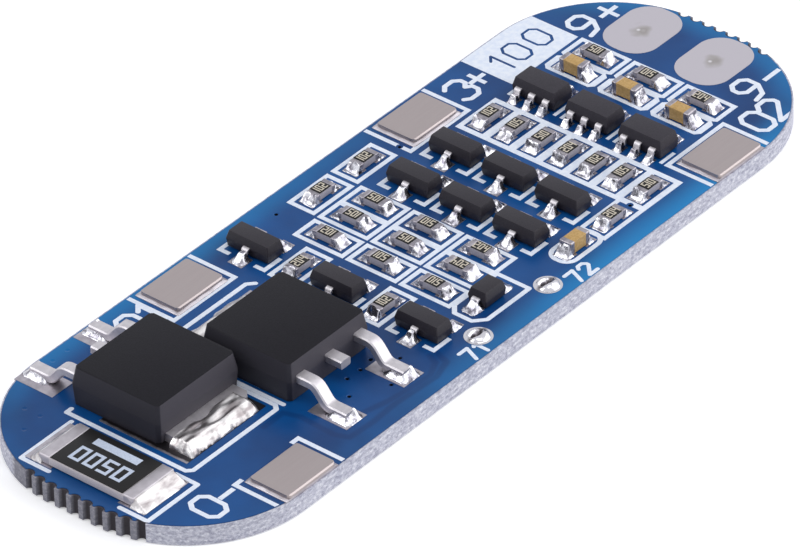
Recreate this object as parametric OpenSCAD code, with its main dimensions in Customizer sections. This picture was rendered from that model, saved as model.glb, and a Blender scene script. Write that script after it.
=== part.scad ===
// Battery management board for a three-cell pack: a round-ended circuit board with two
// power transistors, a current shunt, nickel cell tabs and three cell-monitor channels.
// X runs along the board, Y across it, Z up. The origin is at the middle of the underside.

/* [Board] */
// Width of the board across its straight edges
board_w = 18; // [18:0.5:21]
// Thickness of the finished board
board_t = 1.2; // [1:0.1:1.6]
// Radius of the four rounded corners
corner_r = 7.5; // [6.5:0.25:8.5]
// Diameter of the drilled break-off notches at both ends
bite_d = 0.5; // [0.4:0.05:0.6]
// Spacing of the break-off notches
bite_pitch = 0.8; // [0.7:0.05:0.9]
// Number of break-off notches at the shunt's end; the other end has two fewer
bite_n = 10; // [6:1:11]

/* [Coatings] */
// Thickness of the solder mask
mask_t = 0.04; // [0.03:0.01:0.06]
// Height of the printed legend
legend_t = 0.015; // [0.01:0.005:0.02]
// Distance that the solder mask keeps from the board's edge
mask_back = 0.1; // [0.08:0.01:0.12]
// Width of the legend lines
line_w = 0.27; // [0.2:0.01:0.3]
// Height that a tinned pad stands above the mask
pad_rise = 0.02; // [0.01:0.01:0.04]

/* [Cell tabs] */
// Length of a nickel tab along the board
tab_l = 3.7; // [3.2:0.1:4]
// Width of a nickel tab
tab_w = 2.65; // [2.3:0.05:2.8]
// Thickness of a nickel tab
tab_t = 0.3; // [0.2:0.05:0.5]

/* [Output pads] */
// Length of an output pad along the board
out_l = 4.6; // [4:0.1:5]
// Width of an output pad
out_w = 3.35; // [3:0.05:3.6]
// Corner radius of an output pad
out_r = 1.45; // [1:0.05:1.5]
// Clear strip between an output pad's outer shoulder and the round end
out_edge = 0.04; // [0.04:0.01:0.2]

/* [Power transistors] */
// Width of a case across its leads
fet_w = 6.4; // [6.3:0.05:6.6]
// Length of a case
fet_l = 6; // [5.9:0.05:6.2]
// Width of the bevel down a case's four corners
fet_bevel = 0.3; // [0.1:0.05:0.4]
// Height of a case above the board
fet_h = 2.3; // [2.2:0.05:2.4]
// Spacing of neighbouring leads
fet_pitch = 2.286; // [2.2:0.001:2.35]
// Width of the drain tab
slug_w = 5.3; // [4.8:0.1:5.5]
// Length of drain tab that shows beyond the case
slug_out = 1.2; // [1:0.05:1.3]
// Length of the two long leads beyond the case
fet_lead = 3.25; // [3.1:0.05:3.3]
// Thickness of the leads and the drain tab
fet_metal = 0.5; // [0.45:0.01:0.55]

/* [Shunt] */
// Width of the shunt
shunt_w = 3.2; // [3:0.05:3.3]
// Length of the shunt
shunt_l = 6.35; // [6.2:0.05:6.4]
// Height of the shunt
shunt_h = 0.55; // [0.5:0.05:0.7]

/* [Small transistors] */
// Width of a three-lead case
sot_w = 1.3; // [1.2:0.05:1.4]
// Length of a three-lead case
sot_l = 2.9; // [2.8:0.05:3]
// Height of a three-lead case above the board
sot_h = 1.05; // [0.95:0.05:1.15]
// Width over the lead ends of a three-lead part
sot_span = 2.4; // [2.3:0.05:2.5]

/* [Cell monitors] */
// Width of a six-lead case
mon_w = 1.6; // [1.5:0.05:1.7]
// Length of a six-lead case
mon_l = 2.9; // [2.8:0.05:3]
// Height of a six-lead case above the board
mon_h = 1.15; // [1:0.05:1.25]
// Width over the lead ends of a six-lead part
mon_span = 2.8; // [2.6:0.05:2.9]
// Spacing of a six-lead part's leads
mon_pitch = 0.95; // [0.93:0.01:0.97]

/* [Chip parts] */
// Length of a chip resistor or capacitor
chip_l = 1.6; // [1.5:0.05:1.65]
// Width of a chip resistor or capacitor
chip_w = 0.8; // [0.75:0.05:0.85]
// Height of a chip resistor
res_h = 0.45; // [0.4:0.05:0.5]
// Height of a chip capacitor
cap_h = 0.8; // [0.6:0.05:0.85]

/* [Layout] */
// Board edge to the shunt's middle line
end_to_shunt = 2.8; // [2.8:0.05:3.2]
// Clear strip between the shunt and the first power transistor
gap_shunt_fet = 1.45; // [1.4:0.02:1.7]
// Clear strip between the two power transistors
gap_fets = 0.43; // [0.35:0.02:0.6]
// Clear strip between the second power transistor and the gate drivers
gap_fet_driver = 1.52; // [1.5:0.02:1.8]
// Lead ends of the first power transistor to the back edge
fet_a_edge = 0.58; // [0.5:0.02:0.8]
// Second power transistor towards the back, from the middle of its free strip
fet_b_shift = -0.125; // [-0.2:0.025:0.1]
// Last gate driver's middle to the back edge
driver_back = 2.65; // [2.6:0.05:2.7]
// First gate driver's middle to the front edge
driver_front = 3.95; // [3.9:0.05:4]

/* [Hidden] */
$fn = 24;

// heights
deck = board_t;                           // top of the solder mask
core_top = board_t - mask_t;
pad_top = deck + pad_rise;

// places along the board, built up from its left end
run_fet_a = end_to_shunt + shunt_w / 2 + gap_shunt_fet + fet_w / 2;
run_fet_b = run_fet_a + fet_w + gap_fets;
run_driver = run_fet_b + fet_w / 2 + gap_fet_driver + sot_span / 2;
run_grid = run_driver + sot_span / 2 + 1.05 + chip_w + 0.15;
run_col_1 = run_grid + 3.85 + 1.42 + sot_span / 2;
run_col_2 = run_col_1 + sot_span + 1.13;
run_ladder = run_col_2 + sot_span / 2 + 1.7 + chip_w;
run_monitor = run_ladder + chip_l / 2 + 1.1 + mon_span / 2;
run_filter = run_monitor + mon_span / 2 + 1.15 + chip_w / 2;
run_out = run_filter + 2.2 + chip_w / 2 + 0.45 + out_l / 2;
half_w = board_w / 2;
out_y = [board_w / 6, 1.1 - board_w / 6];
shoulder = max(out_y[0] + bite_pitch - (half_w - corner_r), 0);
round_off = corner_r - sqrt(corner_r * corner_r - shoulder * shoulder);
board_l = run_out + out_l / 2 + max(round_off + out_edge, bite_d / 2 + mask_back + 0.05);
x0 = -board_l / 2;

shunt_x = x0 + end_to_shunt;
fet_a_x = x0 + run_fet_a;
fet_a_pads_x = fet_a_x - 0.33;            // the first case sits a little off its pads
fet_b_x = x0 + run_fet_b;
driver_x = x0 + run_driver;
grid_x = [x0 + run_grid, x0 + run_grid + 2.05, x0 + run_grid + 3.85];
col_x = [x0 + run_col_1, x0 + run_col_2];
ladder_x = x0 + run_ladder;
mon_x = x0 + run_monitor;
filt_cap_x = x0 + run_filter;
filt_res_x = filt_cap_x + 1.8;
out_x = x0 + run_out;

// places across the board
row_mid = -0.1;
row_pitch = board_w / 5;                  // three cell channels and a margin on each side
rows = [row_mid + row_pitch, row_mid, row_mid - row_pitch];
grid_y = [for (y = rows) y + 0.52];
mon_y = [for (y = rows) y - 0.2];
driver_y = [half_w - driver_back, (driver_front - driver_back) / 2, driver_front - half_w];
ladder_pitch = row_pitch / 2;
ladder_y = [for (i = [0:6]) row_mid + (2.444 - i) * ladder_pitch];
front_row_y = ladder_y[6];
fet_reach = fet_l / 2 + fet_lead;         // case middle to lead ends
fet_a_y = half_w - fet_a_edge - fet_reach;
shunt_y = 0.05;
tab_back_y = half_w - 1.8;
// the second power transistor lies between a back cell tab's pad and the front edge
fet_b_strip = (tab_back_y - (tab_w + 0.35) / 2 - half_w) / 2;
fet_b_y = fet_b_strip + (fet_reach - fet_l / 2 - slug_out) / 2 + fet_b_shift;
tab_front_y = -half_w + 1.4;
tab_x = [fet_a_pads_x - 0.45, fet_b_x + 1.05, mon_x + 1.55, ladder_x - 2.52];

// chip resistors: [x, y, turned]; turned parts lie across the board
res_turned = concat(
    [for (x = grid_x) for (y = grid_y) [x, y]],
    [for (y = rows) [filt_res_x, y - 0.08]]);
res_along = concat(
    [for (y = ladder_y) [ladder_x, y]],
    [[grid_x[0] + 2.8, half_w - 2.1], [grid_x[0] + 6.4, half_w - 2.1]],
    [for (i = [0, 1]) [driver_x + 0.25, (driver_y[i] + driver_y[i + 1]) / 2 + 0.02]],
    [[col_x[1] + 0.45, front_row_y - 0.1]]);
cap_turned = [for (y = rows) [filt_cap_x, y - 0.08]];
cap_along = [[col_x[0] + 0.85, front_row_y - 0.12]];
// three-lead transistors: [x, y]
sots = concat(
    [for (y = driver_y) [driver_x, y]],
    [for (y = rows) [col_x[0], y]],
    [for (y = rows) [col_x[1], y]]);
diode = [grid_x[0] + 0.95, rows[2] - 2.2];
diode_w = 1.25;
diode_l = 1.7;
diode_h = 0.98;
diode_span = 2.5;

// the two solder-filled sense holes
sense = [[driver_x + 1.35, -half_w + 1.4], [driver_x + 7.05, -half_w + 1.38]];
sense_hole_r = 0.5;
sense_ring_r = 0.78;

// plated through holes that join the two copper sides
via_d = 0.3;
vias = concat(
    [for (p = [[0.3, -3.85], [1.3, -3.9], [2.3, -3.75], [-0.8, -4.9], [1.3, -5.95], [3.35, -4.85]])
        [fet_b_x + p[0], fet_b_y + p[1]]],
    [for (p = [[-4.65, 4.55], [-4.65, 3.5], [-6.0, 3.4]]) [fet_a_pads_x + p[0], fet_a_y + p[1]]],
    [[fet_a_pads_x - 0.7, half_w - 0.7], [fet_a_pads_x + 0.45, half_w - 0.7]],
    [[grid_x[0], half_w - 1.4], [grid_x[2] + 4.9, half_w - 2.6]],
    [[ladder_x - 1.62, front_row_y - 0.05]]);

// ---------- plain shapes ----------

// Flat rectangle with round corners, centred
module round_rect(l, w, r) {
    square([l - 2 * r, w], center = true);
    square([l, w - 2 * r], center = true);
    for (sx = [-1, 1], sy = [-1, 1])
        translate([sx * (l / 2 - r), sy * (w / 2 - r)])
            circle(r);
}

// Hollow rectangle of line_w, given by its outer corners
module frame(xa, ya, xb, yb, w = line_w) {
    difference() {
        translate([xa, ya])
            square([xb - xa, yb - ya]);
        translate([xa + w, ya + w])
            square([xb - xa - 2 * w, yb - ya - 2 * w]);
    }
}

// Straight line of width w between two points, with round ends
module bar(a, b, w) {
    translate((a + b) / 2)
        rotate(atan2(b[1] - a[1], b[0] - a[0]))
            square([norm(b - a), w], center = true);
}

// Chain of lines through a list of points, with round joints
module stroke(pts, w) {
    for (i = [0:len(pts) - 2])
        bar(pts[i], pts[i + 1], w);
    for (p = pts)
        translate(p)
            circle(d = w);
}

// Board outline: straight long edges, round corners, pulled in by `inset`
module outline(inset = 0) {
    difference() {
        round_rect(board_l - 2 * inset, board_w - 2 * inset, corner_r - inset);
        for (s = [-1, 1])
            for (i = [0:bite_n - 1])
                if (s < 0 || (i > 0 && i < bite_n - 1))
                    translate([s * end_x(bite_y(i)), bite_y(i)])
                        circle(d = bite_d + 2 * inset);
    }
}
function bite_y(i) = -0.6 + (i - (bite_n - 1) / 2) * bite_pitch;
function end_x(y) =
    board_l / 2 - corner_r
    + sqrt(corner_r * corner_r - pow(max(abs(y) - (half_w - corner_r), 0), 2));

// Moulded case: a block whose four sides lean in above and below its parting line
module moulded(l, w, z0, zm, z1, top_in, low_in) {
    intersection() {
        rotate([90, 0, 0])
            linear_extrude(w + 1, center = true)
                lean(l, z0, zm, z1, top_in, low_in);
        rotate([90, 0, 90])
            linear_extrude(l + 1, center = true)
                lean(w, z0, zm, z1, top_in, low_in);
    }
}

// The same with a bevel of `cut` down each of its four corners
module bevelled(l, w, z0, zm, z1, top_in, low_in, cut) {
    across = (l + w - 2 * cut) / sqrt(2);
    intersection() {
        moulded(l, w, z0, zm, z1, top_in, low_in);
        for_both_diagonals()
            linear_extrude(l + w, center = true)
                lean(across, z0, zm, z1, top_in * sqrt(2), low_in * sqrt(2));
    }
}
module for_both_diagonals()
    intersection() {
        rotate([90, 0, 45]) children();
        rotate([90, 0, -45]) children();
    }
module lean(l, z0, zm, z1, top_in, low_in) {
    polygon([
        [-l / 2 + low_in, z0], [l / 2 - low_in, z0], [l / 2, zm],
        [l / 2 - top_in, z1], [-l / 2 + top_in, z1], [-l / 2, zm]]);
}

// Bent lead that leaves a case at height `hi`, steps down and lies on the pad.
// It runs towards +X from x = 0, and is `w` wide.
module gull(w, t, hi, lo, flat, drop, foot) {
    rotate([90, 0, 0])
        linear_extrude(w, center = true)
            polygon([
                [0, hi], [flat, hi], [flat + drop, lo + t],
                [flat + drop + foot, lo + t], [flat + drop + foot, lo],
                [flat + drop - t * 0.55, lo], [flat - t * 0.55, hi - t], [0, hi - t]]);
}

// Solder fillet: a wedge with a hollowed slope, `l` long, that climbs `rise` in `run`.
// Its upright face is at x = 0 and it thins out towards +X.
module fillet(l, run, rise) {
    rotate([90, 0, 0])
        linear_extrude(l, center = true)
            polygon(concat([[0, 0]],
                [for (k = [0:5])
                    let (a = 90 * k / 5)
                        [run * sin(a), 0.04 + (rise - 0.04) * (1 - sin(a))]],
                [[run, 0]]));
}

// Rounds of placing
module at_sots(k = -1)
    for (i = [0:len(sots) - 1])
        if (k < 0 || k == i)
            translate([sots[i][0], sots[i][1], 0])
                children();
module at_list(list, turn = 0)
    for (p = list)
        translate([p[0], p[1], 0])
            rotate(turn)
                children();
module at_chips() {
    at_list(res_turned, 90) children();
    at_list(res_along) children();
}
module at_caps() {
    at_list(cap_turned, 90) children();
    at_list(cap_along) children();
}

// ---------- copper pads ----------

chip_pad_l = 0.85;
chip_pad_w = 1.0;
chip_pad_x = 0.82;
sot_pad = 0.95;
sot_pad_x = sot_span / 2 - 0.02;
sot_two = 0.95;

module out_pad_shape()
    round_rect(out_l, out_w, out_r);

module tab_pad_shape()
    round_rect(tab_l + 0.35, tab_w + 0.35, 0.2);

module chip_pad_shape() {
    for (s = [-1, 1])
        translate([s * chip_pad_x, 0])
            square([chip_pad_l, chip_pad_w], center = true);
}

module sot_pad_shape() {
    translate([-sot_pad_x, 0])
        square([sot_pad, sot_pad], center = true);
    for (s = [-1, 1])
        translate([sot_pad_x, s * sot_two])
            square([sot_pad, 0.8], center = true);
}

module mon_pad_shape() {
    for (sx = [-1, 1], k = [-1, 0, 1])
        translate([sx * (mon_span / 2 - 0.18), k * mon_pitch])
            square([0.75, 0.55], center = true);
}

module diode_pad_shape() {
    for (s = [-1, 1])
        translate([s * (diode_span / 2 - 0.1), 0])
            square([0.85, 0.9], center = true);
}

// Pads under one power transistor whose leads point to -Y
fet_foot_y = -fet_l / 2 - 2.35;
module fet_pad_shape() {
    for (s = [-1, 1])
        translate([s * fet_pitch, fet_foot_y])
            square([1.62, 2.6], center = true);
    translate([0, fet_l / 2 - 0.93])
        square([6.2, 5.9], center = true);
}

module shunt_pad_shape() {
    for (s = [-1, 1])
        translate([0, s * (shunt_l / 2 - 0.05)])
            square([3.5, 1.75], center = true);
}

module part_pads_2d() {
    at_chips() chip_pad_shape();
    at_caps() chip_pad_shape();
    at_sots() sot_pad_shape();
    for (y = mon_y)
        translate([mon_x, y])
            mon_pad_shape();
    translate(diode)
        diode_pad_shape();
    translate([fet_b_x, fet_b_y])
        fet_pad_shape();
    translate([fet_a_pads_x, fet_a_y])
        rotate(180)
            fet_pad_shape();
    translate([shunt_x, shunt_y])
        shunt_pad_shape();
    // short strips of open copper beside the first transistor's lead pads
    translate([fet_a_pads_x - fet_pitch + 0.8, half_w - 2.0])
        square([1.1, 0.6]);
    translate([fet_a_pads_x + fet_pitch + 0.8, half_w - 1.9])
        square([1.3, 0.6]);
}

module tab_pads_2d() {
    intersection() {
        outline(0.05);
        for (p = tab_places())
            translate(p)
                tab_pad_shape();
    }
}
function tab_places() = [
    [tab_x[0], tab_front_y], [tab_x[1], tab_back_y],
    [tab_x[2], tab_front_y], [tab_x[3], tab_back_y]];

module out_pads_2d() {
    for (y = out_y)
        translate([out_x, y])
            out_pad_shape();
}

module sense_openings_2d() {
    for (p = sense)
        translate(p)
            circle(sense_ring_r);
}

module via_holes() {
    for (p = vias)
        translate([p[0], p[1], -1])
            cylinder(d = via_d, h = board_t + 2);
}

// ---------- board ----------

module board_laminate() {
    color("lavender")
        difference() {
            translate([0, 0, mask_t])
                linear_extrude(board_t - 2 * mask_t)
                    outline();
            via_holes();
            for (p = sense)
                translate([p[0], p[1], -1])
                    cylinder(r = sense_hole_r, h = board_t + 2);
        }
}

module mask_top() {
    color("steelblue")
        difference() {
            translate([0, 0, core_top])
                linear_extrude(mask_t)
                    difference() {
                        outline(mask_back);
                        part_pads_2d();
                        tab_pads_2d();
                        out_pads_2d();
                        sense_openings_2d();
                    }
            via_holes();
        }
}

module mask_bottom() {
    color("steelblue")
        difference() {
            linear_extrude(mask_t)
                difference() {
                    outline(mask_back);
                    sense_openings_2d();
                }
            via_holes();
        }
}

module pad_layer() {
    translate([0, 0, core_top])
        linear_extrude(mask_t + pad_rise)
            children();
}

module pad_p_plus() {
    color("silver")
        pad_layer()
            translate([out_x, out_y[0]])
                out_pad_shape();
}

module pad_p_minus() {
    color("silver")
        pad_layer()
            translate([out_x, out_y[1]])
                out_pad_shape();
}

module pads_cell_tabs() {
    color("silver")
        pad_layer()
            tab_pads_2d();
}

module pads_parts() {
    color("silver")
        pad_layer()
            part_pads_2d();
}

// Solder-filled plated hole: a ring on each side, a barrel, and a dished dome on top
module sense_joint(k) {
    color("silver")
        translate([sense[k][0], sense[k][1], 0])
            rotate_extrude()
                polygon([
                    [0, 0], [sense_ring_r, 0], [sense_ring_r, mask_t],
                    [sense_hole_r, mask_t], [sense_hole_r, core_top],
                    [sense_ring_r, core_top], [sense_ring_r, deck + 0.08],
                    [sense_ring_r - 0.1, deck + 0.24], [sense_ring_r - 0.25, deck + 0.3],
                    [sense_ring_r - 0.42, deck + 0.24], [0.12, deck + 0.12],
                    [0, deck + 0.1]]);
}

// ---------- legend ----------

sign_h = 1.85;
// strokes of the plain marks in a cell 1 wide and 1.45 high
glyph_0 = [[0.25, 0], [0.75, 0], [1, 0.3], [1, 1.15], [0.75, 1.45], [0.25, 1.45],
    [0, 1.15], [0, 0.3], [0.25, 0]];
glyph_1 = [[0.2, 1.15], [0.55, 1.45], [0.55, 0]];
glyph_2 = [[0, 1.15], [0.25, 1.45], [0.75, 1.45], [1, 1.15], [1, 0.95], [0, 0], [1, 0]];
glyph_3 = [[0, 1.25], [0.25, 1.45], [0.75, 1.45], [1, 1.2], [1, 0.95], [0.75, 0.75],
    [1, 0.55], [1, 0.25], [0.75, 0], [0.25, 0], [0, 0.2]];
glyph_7 = [[0, 1.45], [1, 1.45], [0.4, 0]];
glyph_9 = [[0.05, 0], [0.6, 0.1], [1, 0.65], [1, 1.2], [0.75, 1.45], [0.25, 1.45],
    [0, 1.2], [0, 0.9], [0.25, 0.65], [1, 0.65]];

module mark(glyph, x, y, h, w)
    translate([x, y])
        stroke([for (p = glyph) p * h / 1.45], w);

module plus(x, y, s, w) {
    bar([x - s / 2, y], [x + s / 2, y], w);
    bar([x, y - s / 2], [x, y + s / 2], w);
}

module minus(x, y, s, w)
    bar([x - s / 2, y], [x + s / 2, y], w);

module tab_frame(s) {
    w = 5.1;
    d = 3.2;
    for (sx = [-1, 1])
        translate([sx * (w / 2 - line_w / 2), s * (d / 2 - 0.1)])
            square([line_w, d], center = true);
    translate([0, s * -0.05])
        square([w, line_w], center = true);
}

module chip_frame(l, w)
    frame(-l / 2, -w / 2, l / 2, w / 2);

// Corner ticks left of a three-lead part
module sot_ticks() {
    x = -sot_w / 2 - 0.52;
    h = sot_l / 2 + 0.2;
    translate([x, h - line_w])
        square([1.0, line_w]);
    translate([x, h - 0.8])
        square([line_w, 0.8]);
    translate([x, -h])
        square([1.45, line_w]);
    translate([x, -h])
        square([line_w, 0.8]);
}

module monitor_ticks() {
    for (s = [-1, 1])
        translate([-0.35, s * (mon_l / 2 + 0.12)])
            square([1.2, line_w * 0.8], center = true);
}

// Frame around a filter capacitor and its resistor, with a clipped corner at the capacitor
module filter_frame() {
    h = 1.72;
    c = 0.28;
    xa = -0.72;
    xm = 0.88;
    xb = 2.78;
    w = line_w;
    difference() {
        polygon([
            [xa, -h + c], [xa + c, -h], [xm - c, -h], [xm - 0.05, -h + c], [xm + 0.1, -h],
            [xb, -h], [xb, h], [xm + 0.1, h], [xm - 0.05, h - c], [xm - c, h],
            [xa + c, h], [xa, h - c]]);
        translate([xa + w, -h + c + 0.1])
            square([xm - xa - 2 * w + 0.08, 2 * h - 2 * c - 0.2]);
        translate([xm + w - 0.02, -h + w])
            square([xb - xm - 2 * w + 0.02, 2 * h - 2 * w]);
    }
}

module frames_2d() {
    // cell tab frames, open towards the board's edge
    for (k = [1, 3])
        translate([tab_x[k], tab_back_y - tab_w / 2 - 0.17])
            tab_frame(1);
    translate([tab_x[2], tab_front_y + tab_w / 2 + 0.35])
        tab_frame(-1);
    for (s = [-1, 1]) {
        translate([tab_x[0] + s * 2.48, tab_front_y + 0.28])
            square([line_w, 3.1], center = true);
        translate([tab_x[0] + s * 2.25, tab_front_y + 1.7])
            square([0.65, line_w], center = true);
    }
    // shunt: two brackets
    translate([shunt_x, shunt_y]) {
        stroke([[-1.95, 2.2], [-1.95, 4.05], [1.9, 4.05]], line_w);
        stroke([[-2.0, -2.6], [-2.0, -4.45], [1.85, -4.45], [1.85, -3.0]], line_w);
    }
    // first power transistor
    translate([fet_a_pads_x, fet_a_y])
        stroke([
            [-3.2, 2.65], [-3.57, 2.65], [-3.57, -5.35], [-3.3, -5.62],
            [3.2, -5.62], [3.45, -5.35], [3.45, -2.6]], line_w);
    // second power transistor
    translate([fet_b_x, fet_b_y]) {
        stroke([
            [-3.42, -2.72], [-3.42, 5.55], [3.35, 5.55], [3.72, 5.2]], line_w);
        for (x = [0.55, 2.8])
            translate([x, -2.73])
                square([0.5, line_w * 0.6], center = true);
    }
    // resistor grid
    for (y = grid_y) {
        translate([grid_x[0], y])
            chip_frame(1.85, 3.45);
        translate([(grid_x[1] + grid_x[2]) / 2 - 0.02, y]) {
            chip_frame(3.65, 3.45);
            translate([-0.02, 0])
                square([0.42, 3.2], center = true);
        }
    }
    // resistors by the back edge
    for (x = [grid_x[0] + 2.8, grid_x[0] + 6.4])
        translate([x, half_w - 2.1])
            chip_frame(3.35, 1.9);
    // resistors between the gate drivers
    for (i = [0, 1])
        translate([driver_x + 0.3, (driver_y[i] + driver_y[i + 1]) / 2 + 0.05])
            frame(-1.55, -0.93, 1.65, 0.93);
    // resistor ladder
    difference() {
        translate([ladder_x - 1.7, ladder_y[6] - 1.0])
            square([3.4, 6 * ladder_pitch + 1.95]);
        for (y = ladder_y)
            translate([ladder_x, y])
                square([2.72, 1.3], center = true);
    }
    // front row: a resistor and a capacitor that join the ladder's frame
    translate([col_x[1] + 0.45, front_row_y - 0.1])
        frame(-1.7, -0.9, 1.95, 0.92);
    translate([col_x[0] + 0.85, front_row_y - 0.12])
        difference() {
            translate([0.1, 0])
                round_rect(3.35, 1.8, 0.8);
            translate([0.1, 0])
                round_rect(3.35 - 2 * line_w, 1.8 - 2 * line_w, 0.55);
        }
    // cell filters
    for (y = rows)
        translate([filt_cap_x, y - 0.08])
            filter_frame();
    // transistors and monitors
    at_sots() sot_ticks();
    for (y = mon_y)
        translate([mon_x, y])
            monitor_ticks();
    // diode: six-sided frame
    translate(diode)
        stroke([
            [-2.0, 0.55], [-1.45, 1.0], [2.05, 1.0], [2.05, -1.15],
            [-1.4, -1.15], [-2.0, -0.6], [-2.0, 0.55]], line_w);
}

module signs_2d() {
    w = 0.28;
    h = sign_h;
    // cell taps, numbered from the negative end
    mark(glyph_0, tab_x[0] - 5.3, tab_front_y + 0.65, h, w);
    minus(tab_x[0] - 3.3, tab_front_y + 1.55, 1.1, w);
    mark(glyph_0, tab_x[1] - 4.65, tab_back_y - 1.05, h, w);
    mark(glyph_1, tab_x[1] - 3.25, tab_back_y - 1.05, h, w);
    mark(glyph_0, tab_x[2] + 3.1, tab_front_y - 0.5, h, w);
    mark(glyph_2, tab_x[2] + 4.55, tab_front_y - 0.5, h, w);
    mark(glyph_3, tab_x[3] + 3.05, tab_back_y - 1.0, h, w);
    plus(tab_x[3] + 5.0, tab_back_y - 0.05, 1.25, w);
    // output pads
    mark(glyph_9, out_x - 2.2, out_y[0] + 1.85, h, w);
    plus(out_x + 0.25, out_y[0] + 2.55, 1.4, w);
    mark(glyph_9, out_x - 1.55, out_y[1] - 4.0, h, w);
    minus(out_x + 0.9, out_y[1] - 3.2, 1.35, w);
    // sense holes
    mark(glyph_7, sense[0][0] - 1.85, sense[0][1] - 1.15, 0.95, 0.22);
    mark(glyph_1, sense[0][0] - 1.0, sense[0][1] - 1.15, 0.95, 0.22);
    mark(glyph_7, sense[1][0] + 1.1, sense[1][1] - 1.15, 0.95, 0.22);
    mark(glyph_2, sense[1][0] + 2.05, sense[1][1] - 1.15, 0.95, 0.22);
}

// Solid white field at the back edge with a plain number left open in it
field_x = mon_x - 0.05;
module number_field_2d() {
    difference() {
        intersection() {
            translate([field_x, half_w - 3.65])
                square([5.7, 4]);
            outline(0.12);
        }
        mark(glyph_1, field_x + 0.7, half_w - 2.75, 1.65, 0.17);
        mark(glyph_0, field_x + 2.0, half_w - 2.75, 1.65, 0.17);
        mark(glyph_0, field_x + 3.75, half_w - 2.75, 1.65, 0.17);
    }
}

module legend_print() {
    color("white")
        translate([0, 0, deck])
            linear_extrude(legend_t)
                difference() {
                    intersection() {
                        union() {
                            frames_2d();
                            signs_2d();
                            number_field_2d();
                        }
                        round_rect(board_l - 0.24, board_w - 0.24, corner_r - 0.12);
                    }
                    part_pads_2d();
                    tab_pads_2d();
                    out_pads_2d();
                    for (p = sense)
                        translate(p)
                            circle(sense_ring_r + 0.05);
                    for (p = vias)
                        translate(p)
                            circle(d = via_d + 0.1);
                }
}

// ---------- nickel cell tabs ----------

module cell_tab(k) {
    p = tab_places()[k];
    color("gray")
        translate([p[0], p[1], pad_top])
            difference() {
                linear_extrude(tab_t)
                    round_rect(tab_l, tab_w, 0.25);
                // rolled edge along the long sides
                for (s = [-1, 1])
                    translate([0, s * tab_w / 2, tab_t])
                        rotate([45, 0, 0])
                            cube([tab_l + 1, 0.1, 0.1], center = true);
            }
}

// ---------- power transistors ----------

fet_z0 = pad_top;
fet_z1 = deck + fet_h;
fet_zm = deck + 1.25;
fet_lead_w = 0.76;
fet_lead_top = deck + 1.5;
slug_in = fet_l - 1.4;                    // drain tab length hidden in the case

// One power transistor's shapes, leads pointing to -Y, centred on its case
module fet_slug_solid() {
    z = pad_top;
    c = 0.35;
    translate([0, 0, z])
        linear_extrude(fet_metal)
            polygon([
                [-slug_w / 2, fet_l / 2 - slug_in],
                [slug_w / 2, fet_l / 2 - slug_in],
                [slug_w / 2, fet_l / 2 + slug_out - c],
                [slug_w / 2 - c, fet_l / 2 + slug_out],
                [-slug_w / 2 + c, fet_l / 2 + slug_out],
                [-slug_w / 2, fet_l / 2 + slug_out - c]]);
}

module fet_lead(s) {
    translate([s * fet_pitch, -fet_l / 2 + 0.45, 0])
        rotate(-90)
            gull(fet_lead_w, fet_metal, fet_lead_top, pad_top, 1.5, 0.95, fet_lead - 2);
}

module fet_stub() {
    translate([-fet_lead_w / 2, -fet_l / 2 - 1.05, fet_lead_top - fet_metal])
        cube([fet_lead_w, 1.5, fet_metal]);
}

module fet_case_solid() {
    difference() {
        bevelled(fet_w, fet_l, fet_z0, fet_zm, fet_z1, 0.18, 0.08, fet_bevel);
        fet_slug_solid();
        for (s = [-1, 1])
            fet_lead(s);
        fet_stub();
    }
}

module fet_leads_solid() {
    for (s = [-1, 1])
        fet_lead(s);
    fet_stub();
}

module place_a()
    translate([fet_a_x, fet_a_y, 0])
        rotate(180)
            children();
module place_b()
    translate([fet_b_x, fet_b_y, 0])
        children();

module mosfet_a_case() { color("dimgray") place_a() fet_case_solid(); }
module mosfet_a_slug() { color("silver") place_a() fet_slug_solid(); }
module mosfet_a_leads() { color("silver") place_a() fet_leads_solid(); }
module mosfet_b_case() { color("dimgray") place_b() fet_case_solid(); }
module mosfet_b_slug() { color("silver") place_b() fet_slug_solid(); }
module mosfet_b_leads() { color("silver") place_b() fet_leads_solid(); }

// Solder at one power transistor: a long fillet at the drain tab and one at each foot
module fet_solder() {
    foot_end = -fet_reach;
    translate([0, fet_l / 2 + slug_out, pad_top])
        rotate(90)
            fillet(slug_w - 0.8, 0.8, fet_metal * 0.85);
    for (s = [-1, 1]) {
        translate([s * fet_pitch, foot_end, pad_top])
            rotate(-90)
                fillet(fet_lead_w, 0.3, fet_metal * 0.7);
        for (t = [-1, 1])
            translate([s * fet_pitch + t * fet_lead_w / 2, foot_end + 0.6, pad_top])
                rotate(t > 0 ? 0 : 180)
                    fillet(1.1, 0.4, fet_metal * 0.8);
    }
}
module solder_mosfet_a() { color("silver") place_a() fet_solder(); }
module solder_mosfet_b() { color("silver") place_b() fet_solder(); }

// ---------- shunt ----------

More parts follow.
